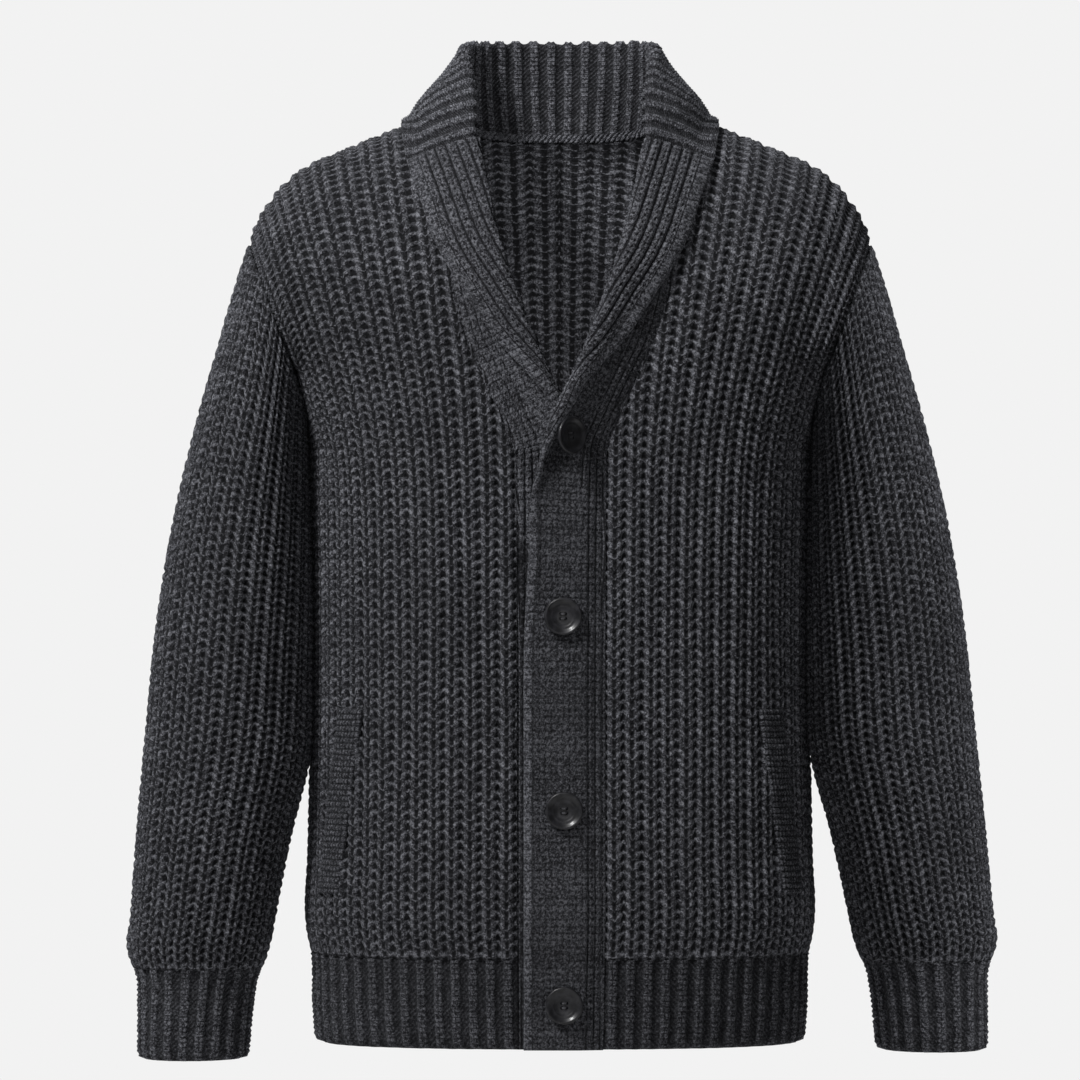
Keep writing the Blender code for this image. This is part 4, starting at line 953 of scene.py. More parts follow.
def panel(name, face, side, look, seed):
    """A front or the back."""
    if face is BACK:
        outer = panel_skin(face, RIBS_BACK, CHUNKY, 0.0, seed, 1)
        inner = panel_skin(face, RIBS_INSIDE, LADDER, WALL, seed + 1, -1, LADDER_RATE)
    else:
        outer = panel_skin(face, RIBS_FRONT, CHUNKY, 0.0, seed, 1)
        inner = panel_skin(face, RIBS_FRONT, PLAIN, WALL, seed + 1, -1)
    return cloth(name, outer, inner, look, side)


# Hem

TUCK = 0.0014  # how far a rib reaches up behind the knit above it
EDGE_REACH = 0.0075  # of the soft turn at the free edge of a hem or cuff
EDGE_IN = 0.0048  # how far that edge has turned in
EDGE_RADIUS = 0.0022
SEAM_SINK = 0.0014


def turned_in(distance):
    """How far a hem or cuff has turned in, at this distance from its free edge."""
    near = np.clip(1 - distance / EDGE_REACH, 0, 1)
    return EDGE_IN * (1 - np.sqrt(1 - 0.96 * near**2))


def hem_skin(face, ribs, knit, inset, seed, out):
    u, kind = knit_columns(knit, ribs)
    v, gap = knit_rows(knit, HEM_ROWS)
    top = HEM_SEAM_Z + TUCK
    z = HEM_Z + v / HEM_ROWS * (top - HEM_Z)
    base = lower_body(face, shares_of(face, u, ribs), z, inset)
    normal = looking(smooth_normals(base), (3, len(u) // 2), face.sign)
    height = relief(knit, kind, gap, seed, np.floor(u))
    height = height - sink(top - z, 1.3 * TUCK, SEAM_SINK)[:, None]
    height = height - (WALL / 2 * rounded(z - HEM_Z, EDGE_RADIUS))[:, None]
    spots = base + normal * (height * out - turned_in(z - HEM_Z)[:, None])[..., None]
    return Skin(keep_on_side(face, spots), u, v[:, None])


def hem(name, face, side, look, seed):
    ribs = RIBS_BACK if face is BACK else RIBS_FRONT
    outer = hem_skin(face, ribs, PAIRS, 0.0, seed, 1)
    return cloth(name, outer, hem_skin(face, ribs, PLAIN, WALL, seed + 1, -1), look, side)


# Sleeves

OFF_ARMHOLE = np.array([ARM_UP[1], 0, -ARM_UP[0]]) * SEAM_GAP


def sleeve_skin(side, knit, ribs, start, end, count, inset, seed, out):
    """One face of the sleeve or cuff, between two numbers of SLEEVE_RINGS."""
    u, kind = (columns[:-1] for columns in knit_columns(knit, ribs))
    base = sleeve_grid(np.linspace(start, end, 6 * (end - start) + 1), u / ribs, inset)
    if side > 0:
        low = smoothstep((ELBOW_Z - base[..., 2]) / (ELBOW_Z - SLEEVE_RINGS[-1, 1]))
        base += low[..., None] * LEFT_SWAY
    base[0] += OFF_ARMHOLE if start == 0 else [0, 0, TUCK]
    runs = np.array([lengths(base[:, c]) for c in range(0, base.shape[1], 8)]).mean(axis=0)
    normal = smooth_normals(base, closed=True)
    if ((base - base.mean(axis=1, keepdims=True)) * normal).sum() < 0:
        normal = -normal
    v, gap = knit_rows(knit, count)
    fade = (smoothstep(v / FADE_ROWS) * smoothstep((count - v) / FADE_ROWS))[:, None]
    spots, normals = stitched(knit, kind, u, v, runs / runs[-1] * count, base, normal, -knit.lean, fade, seed)
    height = relief(knit, kind, gap, seed, np.floor(u))
    height = height - sink(v, 0.7, 0.0008 if start == 0 else SEAM_SINK)[:, None]
    if start == 0:
        height = eased(height, count - v)
    else:
        edge = (count - v) / count * runs[-1]
        height = height - (WALL / 2 * rounded(edge, EDGE_RADIUS))[:, None] - out * turned_in(edge)[:, None]
    spots = spots + normals * (height * out)[..., None]
    return Skin(spots, u, count - v[:, None], closed=True)


def sleeve(name, side, knit, ribs, start, end, count, look, seed):
    """A sleeve, from the armhole at 0, or a cuff, to the last ring."""
    outer = sleeve_skin(side, knit, ribs, start, end, count, 0.0, seed, 1)
    inner = sleeve_skin(side, PLAIN, ribs, start, end, count // 2, WALL, seed + 1, -1)
    return cloth(name, outer, inner, look, side)


# Bands and lapels

STRIP_ROW = 0.0026  # half a stitch, along the strip
STRIP_COLUMNS = len(LINKS.at)  # of points, in a rib
PLAIN_U = 0.74  # a place on the map of stitches without hollows
SELVEDGE = 1.35  # the plain edge, in ribs
SEAM_REACH = 0.0022  # how far a strip reaches into its seam
TURNED_PITCH = (0.0071, 0.0014)  # of the ribs on its turned face at the hem, and how much wider they get
SHOWN_PITCH = 0.0056  # of the ribs on its shown face, beside the seam
SHOWN_RIBS = (2.0, 1.6)  # how many of them there are at the hem, and how many more on the lapel
FINE_RIBS = 1.25  # columns of fine stitches there, past those ribs, to a rib
FINE_CREST = 0.0003  # how far they stand out
PLAIN_WANDER = 0.00014  # how uneven plain places are, and how deep the gaps between their rows
PLAIN_DIP = 0.0003
GUTTER = 0.0026  # how far the band beneath sinks beside its seam
GUTTER_RIBS = (1.3, 0.6)  # how many ribs wide that is, and in how many it ends
GUTTER_END = (3.6, 1.0)  # the same along the strip, in stations
EDGE_ROLL = 0.0015  # how thick the band's free edge is rolled
EDGE_ROLL_WIDTH = 0.0090
EDGE_PLAIN = (0.0060, 0.0020)  # how wide it is without stitches or painted shade, and in how much that ends
SHOWN_V = 400  # taken off the row numbers of the top band's shown face, past its edge, so that its look can tell it and paint shade on it
THIN = 0.0006  # a wall's half thickness under which it has no relief


def ended(x, end):
    """1, and smoothly down to 0 from end[0] on, in end[1]."""
    return 1 - smoothstep((x - end[0]) / end[1])


def strip_rows(side, lap):
    """Station numbers of the strip's rows, evenly spaced along its length, and its lines there."""
    coarse = np.linspace(0, len(STATIONS) - 1, 80)
    lines = [strip_section(side, lap, at) for at in coarse]
    run = lengths(np.array([at_shares(line, np.array([0.35]))[0] for line in lines]))
    count = 2 * round(run[-1] / STRIP_ROW / 2)
    at = np.interp(np.linspace(0, run[-1], count + 1), run, coarse)
    shares = np.linspace(0, 1, 81)
    lines = smoothed(np.array([at_shares(strip_section(side, lap, number), shares) for number in at]), 14)
    reach = lines[:, 0] - unit(lines[:, 1] - lines[:, 0]) * SEAM_REACH
    return at, np.concatenate([reach[:, None], lines], axis=1)


def strip_grid(lines, pitch):
    """Points of a strip. Its columns keep their distance from the free edge, and the seam cuts them off."""
    widths = np.array([lengths(line)[-1] for line in lines])
    columns = int(np.ceil((widths / pitch).max() * STRIP_COLUMNS)) + 2
    u = np.arange(columns) / STRIP_COLUMNS
    grid = np.empty((len(lines), columns, 3))
    last = np.zeros(len(lines), int)
    for r, line in enumerate(lines):
        run = lengths(line[::-1])
        away = u * pitch[r]
        end = last[r] = int(np.argmax(away >= run[-1] - 0.0003))
        away[end] = run[-1]
        grid[r] = between(away, run, line[::-1])
        ahead = unit(grid[r, end] - grid[r, end - 1])
        for c in range(end + 1, columns):
            grid[r, c] = grid[r, end] + ahead * pitch[r] / STRIP_COLUMNS * (c - end)
    return grid, u, last, widths


def strip(name, side, lap, look, seed):
    """A band with its lapel. Its shown face has ribs beside the seam, and its turned face beside the free edge."""
    stations, lines = strip_rows(side, lap)
    pitch = TURNED_PITCH[0] + TURNED_PITCH[1] * smoothstep((stations - 5) / 8)
    grid, u, last, widths = strip_grid(lines, pitch)
    normal = smoothed(smooth_normals(grid), 3)
    normal /= np.linalg.norm(normal, axis=-1, keepdims=True)
    normal = looking(normal, (4, 6), -1)
    rows = len(lines)
    v, gap = half_rows(rows)
    phase = np.arange(len(u)) % STRIP_COLUMNS
    from_edge = u[None, :] * pitch[:, None]
    from_seam = (widths[:, None] - SEAM_REACH - from_edge) / SHOWN_PITCH
    gutter = GUTTER * ended(from_seam, GUTTER_RIBS) * ended(stations, GUTTER_END)[:, None] * (lap == "under")
    grid = grid - normal * gutter[..., None]
    random = np.random.default_rng(seed + 3)
    plain = PLAIN_WANDER * random.standard_normal((rows, len(u))) - PLAIN_DIP * gap[:, None]
    raised = relief(LINKS, phase, gap, seed, np.floor(u + 1e-6))
    ribs_on = smoothstep((u - SELVEDGE + 0.3) / 0.4)[None, :]
    turned_height = raised * ribs_on + plain * (1 - ribs_on)
    share = np.mod(from_seam, 1.0)
    crest, dip = (np.interp(share, [*LINKS.at, 1.0], [*row, row[0]]) for row in (LINKS.crest, LINKS.dip))
    ribs_near = SHOWN_RIBS[0] + SHOWN_RIBS[1] * smoothstep((stations - 3.5) / 2)
    near_seam = ended(from_seam, (ribs_near[:, None], 0.5))
    fine = FINE_CREST * np.cos(2 * math.pi * FINE_RIBS * from_seam) + plain
    shown_height = fine * (1 - near_seam) + (crest - dip * gap[:, None]) * near_seam
    at_edge = ended(from_edge, EDGE_PLAIN)
    ridge = EDGE_ROLL * np.sin(math.pi * np.clip(from_edge / EDGE_ROLL_WIDTH, 0, 1))
    shown_height = shown_height * (1 - at_edge) + plain * at_edge + ridge * ended(stations, (4.5, 1.5))[:, None]
    ends = np.arange(rows) * STRIP_ROW
    half = STRIP_WALL / 2 * (1 - rounded(from_edge, 0.0044)) * (1 - rounded(ends, 0.0020))[:, None]
    lower = sink(np.maximum(from_seam, 0), 0.35, 0.0009) + sink(ends[::-1], 0.0035, 0.0010)[:, None]
    thick = half > THIN
    shown = Skin(grid + normal * (half + (shown_height - lower) * thick)[..., None], u, v[:, None])
    turned = Skin(grid - normal * (half + (turned_height - lower) * thick)[..., None], u, v[:, None])
    narrow = 0.5 + 0.98 * np.abs(share - 0.5)
    fine_u = 0.5 + 0.72 * np.abs(np.mod(from_seam * FINE_RIBS, 1.0) - 0.5)
    shown.u = np.where(near_seam > 0.5, narrow, np.where(at_edge > 0.5, PLAIN_U, fine_u))
    # Past its rolled edge the top band's shown face gets painted shade; the edge is left without it, so it is
    # painted lighter, as where it catches the light.
    if lap == "over":
        shown.v = v[:, None] - np.where(at_edge > 0.5, 0, SHOWN_V)
    else:
        # Painted shade in the band beneath, darkest where it sinks beside its seam.
        shown.u = np.maximum(shown.u, 0.5 + 0.43 * gutter / GUTTER)
    turned.u = u * ribs_on + PLAIN_U * (1 - ribs_on) + np.zeros((rows, 1))
    for skin in (shown, turned):
        for r in range(rows):
            skin.index[r, last[r] + 1 :] = skin.index[r, last[r]]
    return cloth(name, shown, turned, look)


# Back collar

COLLAR_ROW = 0.0017  # half a stitch, up the collar
COLLAR_TUCK = 0.0032  # how far it reaches down into the seam with the back
COLLAR_TUCK_FROM = (1.2, 0.8)  # the station from which on it does, and in how many that begins


def collar(name, look, seed):
    rows = collar_rows()
    u, kind = knit_columns(PAIRS, RIBS_COLLAR)
    off_lapel = strip_section(1, "over", len(STATIONS) - 1) - collar_section(rows, 0.0)
    coarse = np.linspace(0, len(COLLAR_STATIONS), 49)
    lines = [collar_section(rows, at) + off_lapel * smoothstep(1 - at) for at in coarse]
    run = lengths(np.array([at_shares(line, np.array([0.45]))[0] for line in lines]))
    longest = max(lengths(line)[-1] for line in lines)
    count = 2 * round(longest / COLLAR_ROW / 2)
    shares = np.linspace(0, 1, count + 1)
    base = np.array([at_shares(line, shares) for line in lines])
    base[0] -= unit(base[1] - base[0]) * 0.0004
    down = unit(base[:, 0] - base[:, 1]) * smoothstep((coarse - COLLAR_TUCK_FROM[0]) / COLLAR_TUCK_FROM[1])[:, None]
    base[:, 0] += down * COLLAR_TUCK
    at = np.interp((1 - np.abs(2 * u / RIBS_COLLAR - 1)) * run[-1], run, coarse)
    grid = np.array([between(at, coarse, base[:, r]) for r in range(count + 1)])
    grid[:, u > RIBS_COLLAR / 2, 0] *= -1
    normal = looking(smooth_normals(grid), (-1, len(u) // 2), 1)
    v, gap = half_rows(count + 1)
    height = relief(PAIRS, kind, gap, seed, np.floor(u))
    half = STRIP_WALL / 2 * (1 - rounded((1 - shares)[:, None] * longest, 0.0024)) + np.zeros((1, len(u)))
    lower = sink(np.minimum(u, RIBS_COLLAR - u)[None, :], 0.30, 0.0009)
    outer = Skin(grid + normal * (half + (height - lower) * (half > THIN))[..., None], u, v[:, None])
    plain_u = knit_columns(PLAIN, RIBS_COLLAR)[0]

    def thinned(values):
        return np.array([between(plain_u, u, row) for row in values[::2]])

    inner = Skin(thinned(grid) - thinned(normal) * thinned(half[..., None]), plain_u, v[::2, None])
    return cloth(name, outer, inner, look)


# Pocket welts

WELT_COLUMNS = 16
WELT_ROUND = 0.0048  # how far its edges are rounded


def welt(name, side, look, seed):
    up_welt, kind = knit_columns(SHALLOW, RIBS_WELT)
    tall = WELT_TOP[0] - WELT_BOTTOM[0]
    top, low = [], []
    shares = np.linspace(0, 1, 400)
    for rise in up_welt / RIBS_WELT:
        z = WELT_BOTTOM[0] + rise * tall
        near_x = WELT_BOTTOM[1] + (WELT_TOP[1] - WELT_BOTTOM[1]) * rise
        ring = ring_at(z)
        spots = quarter_ring(shares, ring.half_width, ring.front)
        wide = WELT_WIDTH / lengths(np.stack(spots, axis=-1))[-1]
        across = np.interp(near_x, spots[0], shares) + np.linspace(0, wide, WELT_COLUMNS + 1)
        top.append(lower_body(FRONT, across, [z], -WELT_LIFT)[0])
        low.append(lower_body(FRONT, across, [z], WELT_SUNK)[0])
    top, low = np.array(top), np.array(low)
    v, gap = half_rows(WELT_COLUMNS + 1)
    height = relief(SHALLOW, kind, gap, seed, np.floor(up_welt)).T
    columns = np.arange(WELT_COLUMNS + 1)
    from_edge = np.minimum(columns, WELT_COLUMNS - columns) * WELT_WIDTH / WELT_COLUMNS
    from_end = np.minimum(up_welt, RIBS_WELT - up_welt) * tall / RIBS_WELT
    worn = np.maximum(rounded(from_edge, WELT_ROUND)[None, :], rounded(from_end, WELT_ROUND)[:, None])
    thick = WELT_THICK * (1 - 0.94 * worn)
    outer = Skin(low + unit(top - low) * (thick + height * (1 - worn))[..., None], up_welt[:, None], v)
    inner = Skin(low[::4, ::2], up_welt[::4, None], v[::2])
    return cloth(name, outer, inner, look, side)


# Neck chain

CHAIN_END_X = 0.080
CHAIN_OFF = (0, -0.0040, 0.0034)  # of the neck edge
STITCH_PITCH = 0.0040
STITCH_LONG, STITCH_WIDE, STITCH_DEEP = 0.0050, 0.0019, 0.0024  # half of each
STITCH_RINGS, STITCH_SIDES = 9, 10


def neck_chain(name, look):
    """The slanted stitches that cover the back neck seam inside the collar."""
    x = np.linspace(-CHAIN_END_X, CHAIN_END_X, 200)
    yz = between(np.abs(x), BACK_EDGE[:, 0], BACK_EDGE[:, 1:])
    path = np.column_stack([x, yz]) + CHAIN_OFF
    run = lengths(path)
    spots, faces, maps = [], [], []
    for n in range(int(run[-1] / STITCH_PITCH)):
        ends = between((n + 0.5) * STITCH_PITCH + np.array([-0.003, 0.003]), run, path)
        ahead = unit(ends[1] - ends[0])
        up = unit(np.array([0, 0, 1.0]) - ahead * ahead[2])
        out = np.cross(ahead, up)
        axis = unit(ahead * 0.75 + up * 0.66)
        wide = unit(np.cross(out, axis))
        for i in range(STITCH_RINGS):
            lat = -math.pi / 2 + math.pi * i / (STITCH_RINGS - 1)
            for j in range(STITCH_SIDES):
                lon = 2 * math.pi * j / STITCH_SIDES
                ring = wide * STITCH_WIDE * math.cos(lon) + out * STITCH_DEEP * math.sin(lon)
                spots.append((ends[0] + ends[1]) / 2 + axis * STITCH_LONG * math.sin(lat) + ring * math.cos(lat))
        start = n * STITCH_RINGS * STITCH_SIDES
        for i in range(STITCH_RINGS - 1):
            faces += ring_faces(start + i * STITCH_SIDES, start + (i + 1) * STITCH_SIDES, STITCH_SIDES)
            maps += [[(0.4, i / 8), (0.5, i / 8), (0.5, (i + 1) / 8), (0.4, (i + 1) / 8)]] * STITCH_SIDES
    return build_mesh(name, spots, faces, look, maps)


# Buttons

BUTTON_SIDES = 64
DISH = 0.42  # how high its dish is, as a share
BUTTON_PROFILE = (  # radius and height, as shares, from the middle of the dish over the rim to the underside
    (0.0, DISH), (0.30, DISH), (0.52, DISH), (0.555, 0.50), (0.60, 0.53), (0.66, 0.55), (0.74, 0.66),
    (0.82, 0.86), (0.88, 0.97), (0.93, 1.0), (0.975, 0.93), (1.0, 0.76), (0.995, 0.55), (0.95, 0.30),
    (0.84, 0.06), (0.74, 0.0), (0.0, 0.0),
)
THREAD_RADIUS = 0.00033
THREAD_APART = 0.00035  # half the way between the two threads of a pass
THREAD_SUNK = 0.0012  # how far its ends are below the dish, and how far it rises from there
THREAD_RISE = 0.0019


def ring_faces(a, b, sides):
    """Faces between the ring of points that starts at number a and the one that starts at b."""
    return [[a + j, a + (j + 1) % sides, b + (j + 1) % sides, b + j] for j in range(sides)]


def around(middle, across, up, radius, sides):
    turns = [2 * math.pi * j / sides for j in range(sides)]
    return [middle + radius * (across * math.cos(turn) + up * math.sin(turn)) for turn in turns]


def button(name, node, turn, look, thread_look):
    """A dished button with a raised rim and four holes, where its solid is, and the thread through them."""
    low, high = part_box(node)
    normal = np.array([math.sin(turn), -math.cos(turn), 0.0])
    across = np.array([math.cos(turn), math.sin(turn), 0.0])
    up = np.array([0.0, 0.0, 1.0])
    base = (np.array(low) + np.array(high)) / 2 - normal * BUTTON_THICK / 2
    spots, faces = [], []
    pairs = [(j, (j + 1) % BUTTON_SIDES) for j in range(BUTTON_SIDES)]
    for radius, height in BUTTON_PROFILE:
        new = len(spots)
        old = new - BUTTON_SIDES
        middle = base + normal * height * BUTTON_THICK
        spots += around(middle, across, up, radius * BUTTON_RADIUS, BUTTON_SIDES if radius > 0 else 1)
        if new == 1:
            faces += [[0, new + j, new + k] for j, k in pairs]
        elif new > 1 and radius == 0:
            faces += [[old + k, old + j, new] for j, k in pairs]
        elif new > 1:
            faces += [[old + j, new + j, new + k, old + k] for j, k in pairs]
    if volume_of(np.array(spots), faces) < 0:
        faces = [f[::-1] for f in faces]
    made = build_mesh(name, spots, faces, look)
    cutters = []
    for i in range(4):
        angle = math.pi / 4 + i * math.pi / 2
        at = base + (across * math.cos(angle) + up * math.sin(angle)) * HOLE_PITCH / 1.414
        spots, faces = tube([at - normal * 0.004, at + normal * 0.008], HOLE_RADIUS, 16)
        cutters.append(build_mesh(f"cutter_{i}", spots, faces, smooth_faces=False))
    for cutter in cutters:
        drill = made.modifiers.new(cutter.name, "BOOLEAN")
        drill.operation = "DIFFERENCE"
        drill.object = cutter
    solid = bpy.data.meshes.new_from_object(made.evaluated_get(bpy.context.evaluated_depsgraph_get()))
    made.modifiers.clear()
    undrilled, made.data = made.data, solid
    bpy.data.meshes.remove(undrilled)
    for cutter in cutters:
        bpy.data.objects.remove(cutter)
    made.data.set_sharp_from_angle(angle=math.radians(40))
    return made, button_thread(f"{name}_thread", base, normal, across, up, thread_look)


def tube(path, radius, sides):
    """Points and faces of a closed tube along a path."""
    path = np.array(path)
    spots, faces = [], []
    ahead = np.gradient(path, axis=0)
    ahead /= np.linalg.norm(ahead, axis=1)[:, None]
    side = unit(np.cross(ahead[0], np.array([0.3, 0.1, 0.9])))
    for p, t in zip(path, ahead):
        side = unit(side - t * side.dot(t))
        if spots:
            faces += ring_faces(len(spots) - sides, len(spots), sides)
        spots += around(p, side, np.cross(t, side), radius, sides)
    last = list(range(len(spots) - sides, len(spots)))
    return spots, [*faces, list(range(sides))[::-1], last]


def button_thread(name, base, normal, across, up, look):
    """Two parallel passes of doubled thread over the button's middle."""
    spots, faces = [], []
    half = HOLE_PITCH / 2
    for row in (-half, half):
        for nudge in (-THREAD_APART, THREAD_APART):
            path = []
            for t in np.linspace(0, math.pi, 13):
                height = BUTTON_THICK * DISH - THREAD_SUNK + THREAD_RISE * math.sin(t) ** 0.7
                path.append(base + across * -math.cos(t) * half + up * (row + nudge) + normal * height)
            more_spots, more_faces = tube(path, THREAD_RADIUS, 8)
            faces += [[k + len(spots) for k in face] for face in more_faces]
            spots += more_spots
    return build_mesh(name, spots, faces, look)


# Materials


class Value:
    """What comes out of a shader node. Sums with it make more nodes."""

    def __init__(self, looks, socket):
        self.looks, self.socket = looks, socket

    def __add__(self, other):
        return self.looks.math("ADD", self, other)

    def __sub__(self, other):
        return self.looks.math("SUBTRACT", self, other)

    def __rsub__(self, other):
        return self.looks.math("SUBTRACT", other, self)

    def __mul__(self, other):
        return self.looks.math("MULTIPLY", self, other)

    def __abs__(self):
        return self.looks.math("ABSOLUTE", self)


class Nodes:
    """A small helper for shader node trees."""

    def __init__(self, name):
        self.look = bpy.data.materials.new(name)
        self.look.use_nodes = True
        self.tree = self.look.node_tree
        self.shader = self.tree.nodes["Principled BSDF"]

    def node(self, kind, *given, out=0, **values):
        """What comes out of a new node, its first inputs given in order."""
        made = self.tree.nodes.new(kind)
        for key, value in values.items():
            setattr(made, key, value)
        for socket, value in zip(made.inputs, given):
            self.put(socket, value)
        return Value(self, made.outputs[out])

    def put(self, socket, value):
        if isinstance(value, Value):
            self.tree.links.new(value.socket, socket)
        elif value is not None:
            socket.default_value = value

    def math(self, operation, *given):
        return self.node("ShaderNodeMath", *given, operation=operation)

    def ramp(self, value, low, high, low_to=0.0, high_to=1.0):
        """Smoothly from low_to at low to high_to at high."""
        return self.node("ShaderNodeMapRange", value, low, high, low_to, high_to, interpolation_type="SMOOTHSTEP")

    def noise(self, place, scale, detail=2.0, roughness=0.5):
        return self.node("ShaderNodeTexNoise", place, None, scale, detail, roughness)

    def mix(self, share, a, b):
        unused = (None,) * 5
        return self.node("ShaderNodeMix", share, *unused, a, b, out=2, data_type="RGBA")

    def bump(self, strength, distance, height):
        made = self.node("ShaderNodeBump")
        bump = made.socket.node
        for key, value in (("Strength", strength), ("Distance", distance), ("Height", height)):
            self.put(bump.inputs[key], value)
        return made

    def set(self, **values):
        for key, value in values.items():
            self.put(self.shader.inputs[key.replace("_", " ")], value)


YARN_LIGHT = (0.290, 0.295, 0.328)
YARN_MIDDLE = (0.105, 0.107, 0.121)
YARN_DARK = (0.026, 0.026, 0.030)
# The colour of painted shade: in the knit's hollows, and on the top band's shown face.
PAINTED_SHADE_COLOUR = (0.006, 0.006, 0.007, 1)
TURN = 6.2832

# Painted shade in a knit's own hollows: its colour is darkened there. Each is where it starts and ends, and how
# dark it is painted: `gap` between ribs, as a share of half a rib; `row` between stitches, as a share of half a
# stitch; `middle` in the open top of a stitch; and `hole` between two stitches in the middle of a rib. `hatch` is
# how much of the gap is filled by slanting purl loops, one to a stitch. `bars` is how much of the gap the legs of
# the stitches reach over, in the middle of each row, and `legs` how far they run on into the next row.
NONE = (0, 0.1, 0)
Hollows = namedtuple("Hollows", "gap row middle hole hatch bars legs", defaults=(NONE, NONE, 0, 0, 0))
CHUNKY_HOLLOWS = Hollows((0.60, 0.84, 0.96), (0.32, 0.66, 0.95), middle=(0.12, 0.32, 0.94), bars=0.76, legs=0.46)
WELT_HOLLOWS = Hollows((0.50, 0.92, 0.85), (0.45, 0.85, 0.72), bars=0.3)
PAIRS_HOLLOWS = Hollows((0.36, 0.54, 0.90), (0.50, 0.90, 0.55), middle=(0, 0.14, 0.60), hatch=0.28)
RIB_HOLLOWS = Hollows((0.36, 0.56, 0.80), (0.50, 0.90, 0.55), middle=(0, 0.14, 0.60), hatch=0.22)
LINKS_HOLLOWS = Hollows((0.66, 0.92, 0.90), (0.60, 1.0, 0.35), hole=(0.05, 0.34, 0.85))
PAINTED_BAND_SHADE = 0.40  # how much painted shade darkens the top band's shown face: the darker look of its fine stitches, and the lapel's shadow on it
CLOUD_SHADE = 0.20
FRAY_SCALE, HEATHER_SCALE, FLECK_SCALE, CLOUD_SCALE = 330.0, 500.0, 1050.0, 14.0  # of the yarn's noises


def knit_look(name, hollows, ply, gain=1.0, painted_shade_below=None):
    """Wool yarn in stitches, with painted shade in its hollows. On rows numbered below the last argument it has the
    band's painted shade as well.
    """
    n = Nodes(name)
    place = n.node("ShaderNodeUVMap", uv_map="knit")
    apart = n.node("ShaderNodeSeparateXYZ", place)
    u, v = (Value(n, socket) for socket in apart.socket.node.outputs[:2])
    where = n.node("ShaderNodeTexCoord", out="Object")
    stray = (n.noise(where, FRAY_SCALE) - 0.5) * 0.5
    rise = n.math("FRACT", v + stray * 0.7)
    t = abs(n.math("FRACT", u) - 0.5) * 2.0
    q = abs(rise - 0.5) * 2.0
    loops = n.ramp(n.math("SINE", v * TURN + u * 22.0), -0.4, 0.8, 0.0, hollows.hatch)
    gap = n.ramp(t + stray, *hollows.gap[:2], 0.0, hollows.gap[2])
    gap = gap * (1.0 - loops) * n.ramp(q, 0.15, 0.60, 1 - hollows.bars, 1.0)
    legs = n.ramp(t, 0.14, 0.32) * n.ramp(t, 0.80, 0.62)
    row = n.ramp(q, *hollows.row[:2], 0.0, hollows.row[2]) * (1.0 - legs * hollows.legs)
    middle = n.ramp(t, hollows.middle[1], hollows.middle[0]) * n.ramp(rise, 0.32, 0.52) * hollows.middle[2]
    hole = n.ramp(q, 0.35, 0.85) * n.ramp(t, hollows.hole[1], hollows.hole[0]) * hollows.hole[2]
    heather = n.noise(where, HEATHER_SCALE, 2.0, 0.55)
    flecks = n.noise(where, FLECK_SCALE, 1.0)
    cloud = n.noise(where, CLOUD_SCALE, 3.0)
    stitch = n.node("ShaderNodeCombineXYZ", n.math("FLOOR", u * 2.0), n.math("FLOOR", v))
    chance = n.node("ShaderNodeTexWhiteNoise", stitch, noise_dimensions="2D")
    blend = heather * 0.6 + flecks * 0.4 + (chance - 0.5) * 0.05
    # gain makes this look a lighter or darker copy of the one yarn: painted light and shade.
    dark, middling, light = ((*(gain * part for part in yarn), 1) for yarn in (YARN_DARK, YARN_MIDDLE, YARN_LIGHT))
    colour = n.mix(n.ramp(blend, 0.40, 0.50), dark, middling)
    colour = n.mix(n.ramp(blend, 0.48, 0.62), colour, light)
    colour = n.mix(n.ramp(cloud, 0.35, 0.65, 0.0, CLOUD_SHADE), colour, dark)
    # Painted shade on the top band's shown face: the darker look of its fine stitches, and the lapel's shadow on
    # it.
    if painted_shade_below:
        colour = n.mix(n.ramp(v, painted_shade_below, painted_shade_below + 1, PAINTED_BAND_SHADE, 0.0), colour, PAINTED_SHADE_COLOUR)
    # Painted shade in the knit's hollows: the colour is darkened towards the shade colour there.
    shade = n.math("MAXIMUM", n.math("MAXIMUM", gap, row), n.math("MAXIMUM", middle, hole))
    colour = n.mix(shade, colour, PAINTED_SHADE_COLOUR)
    twist = n.math("SINE", v * (TURN * ply) + t * 9.0)
    height = twist * 0.16 + heather * 0.9 + flecks * 0.5 - shade * 1.2
    n.set(Base_Color=colour, Roughness=n.ramp(heather, 0.3, 0.7, 0.86, 0.98), Normal=n.bump(0.85, 0.0009, height))
    n.set(Sheen_Weight=0.12, Sheen_Roughness=0.5, Sheen_Tint=(0.75, 0.78, 0.85, 1), Specular_IOR_Level=0.15)
    return n.look


def button_material():
    n = Nodes("button_horn")
    where = n.node("ShaderNodeTexCoord", out="Object")
    cloud = n.noise(where, 160.0, 4.0, 0.55)
    scratch = n.noise(where, 2600.0)
    colour = n.mix(n.ramp(cloud, 0.38, 0.68), (0.008, 0.008, 0.010, 1), (0.028, 0.028, 0.033, 1))
    bump = n.bump(0.16, 0.0002, cloud + scratch * 0.3)
    n.set(Base_Color=colour, Roughness=n.ramp(scratch, 0.3, 0.7, 0.34, 0.46), Normal=bump)
    n.set(Specular_IOR_Level=0.5, Coat_Weight=0.25, Coat_Roughness=0.16)
    return n.look


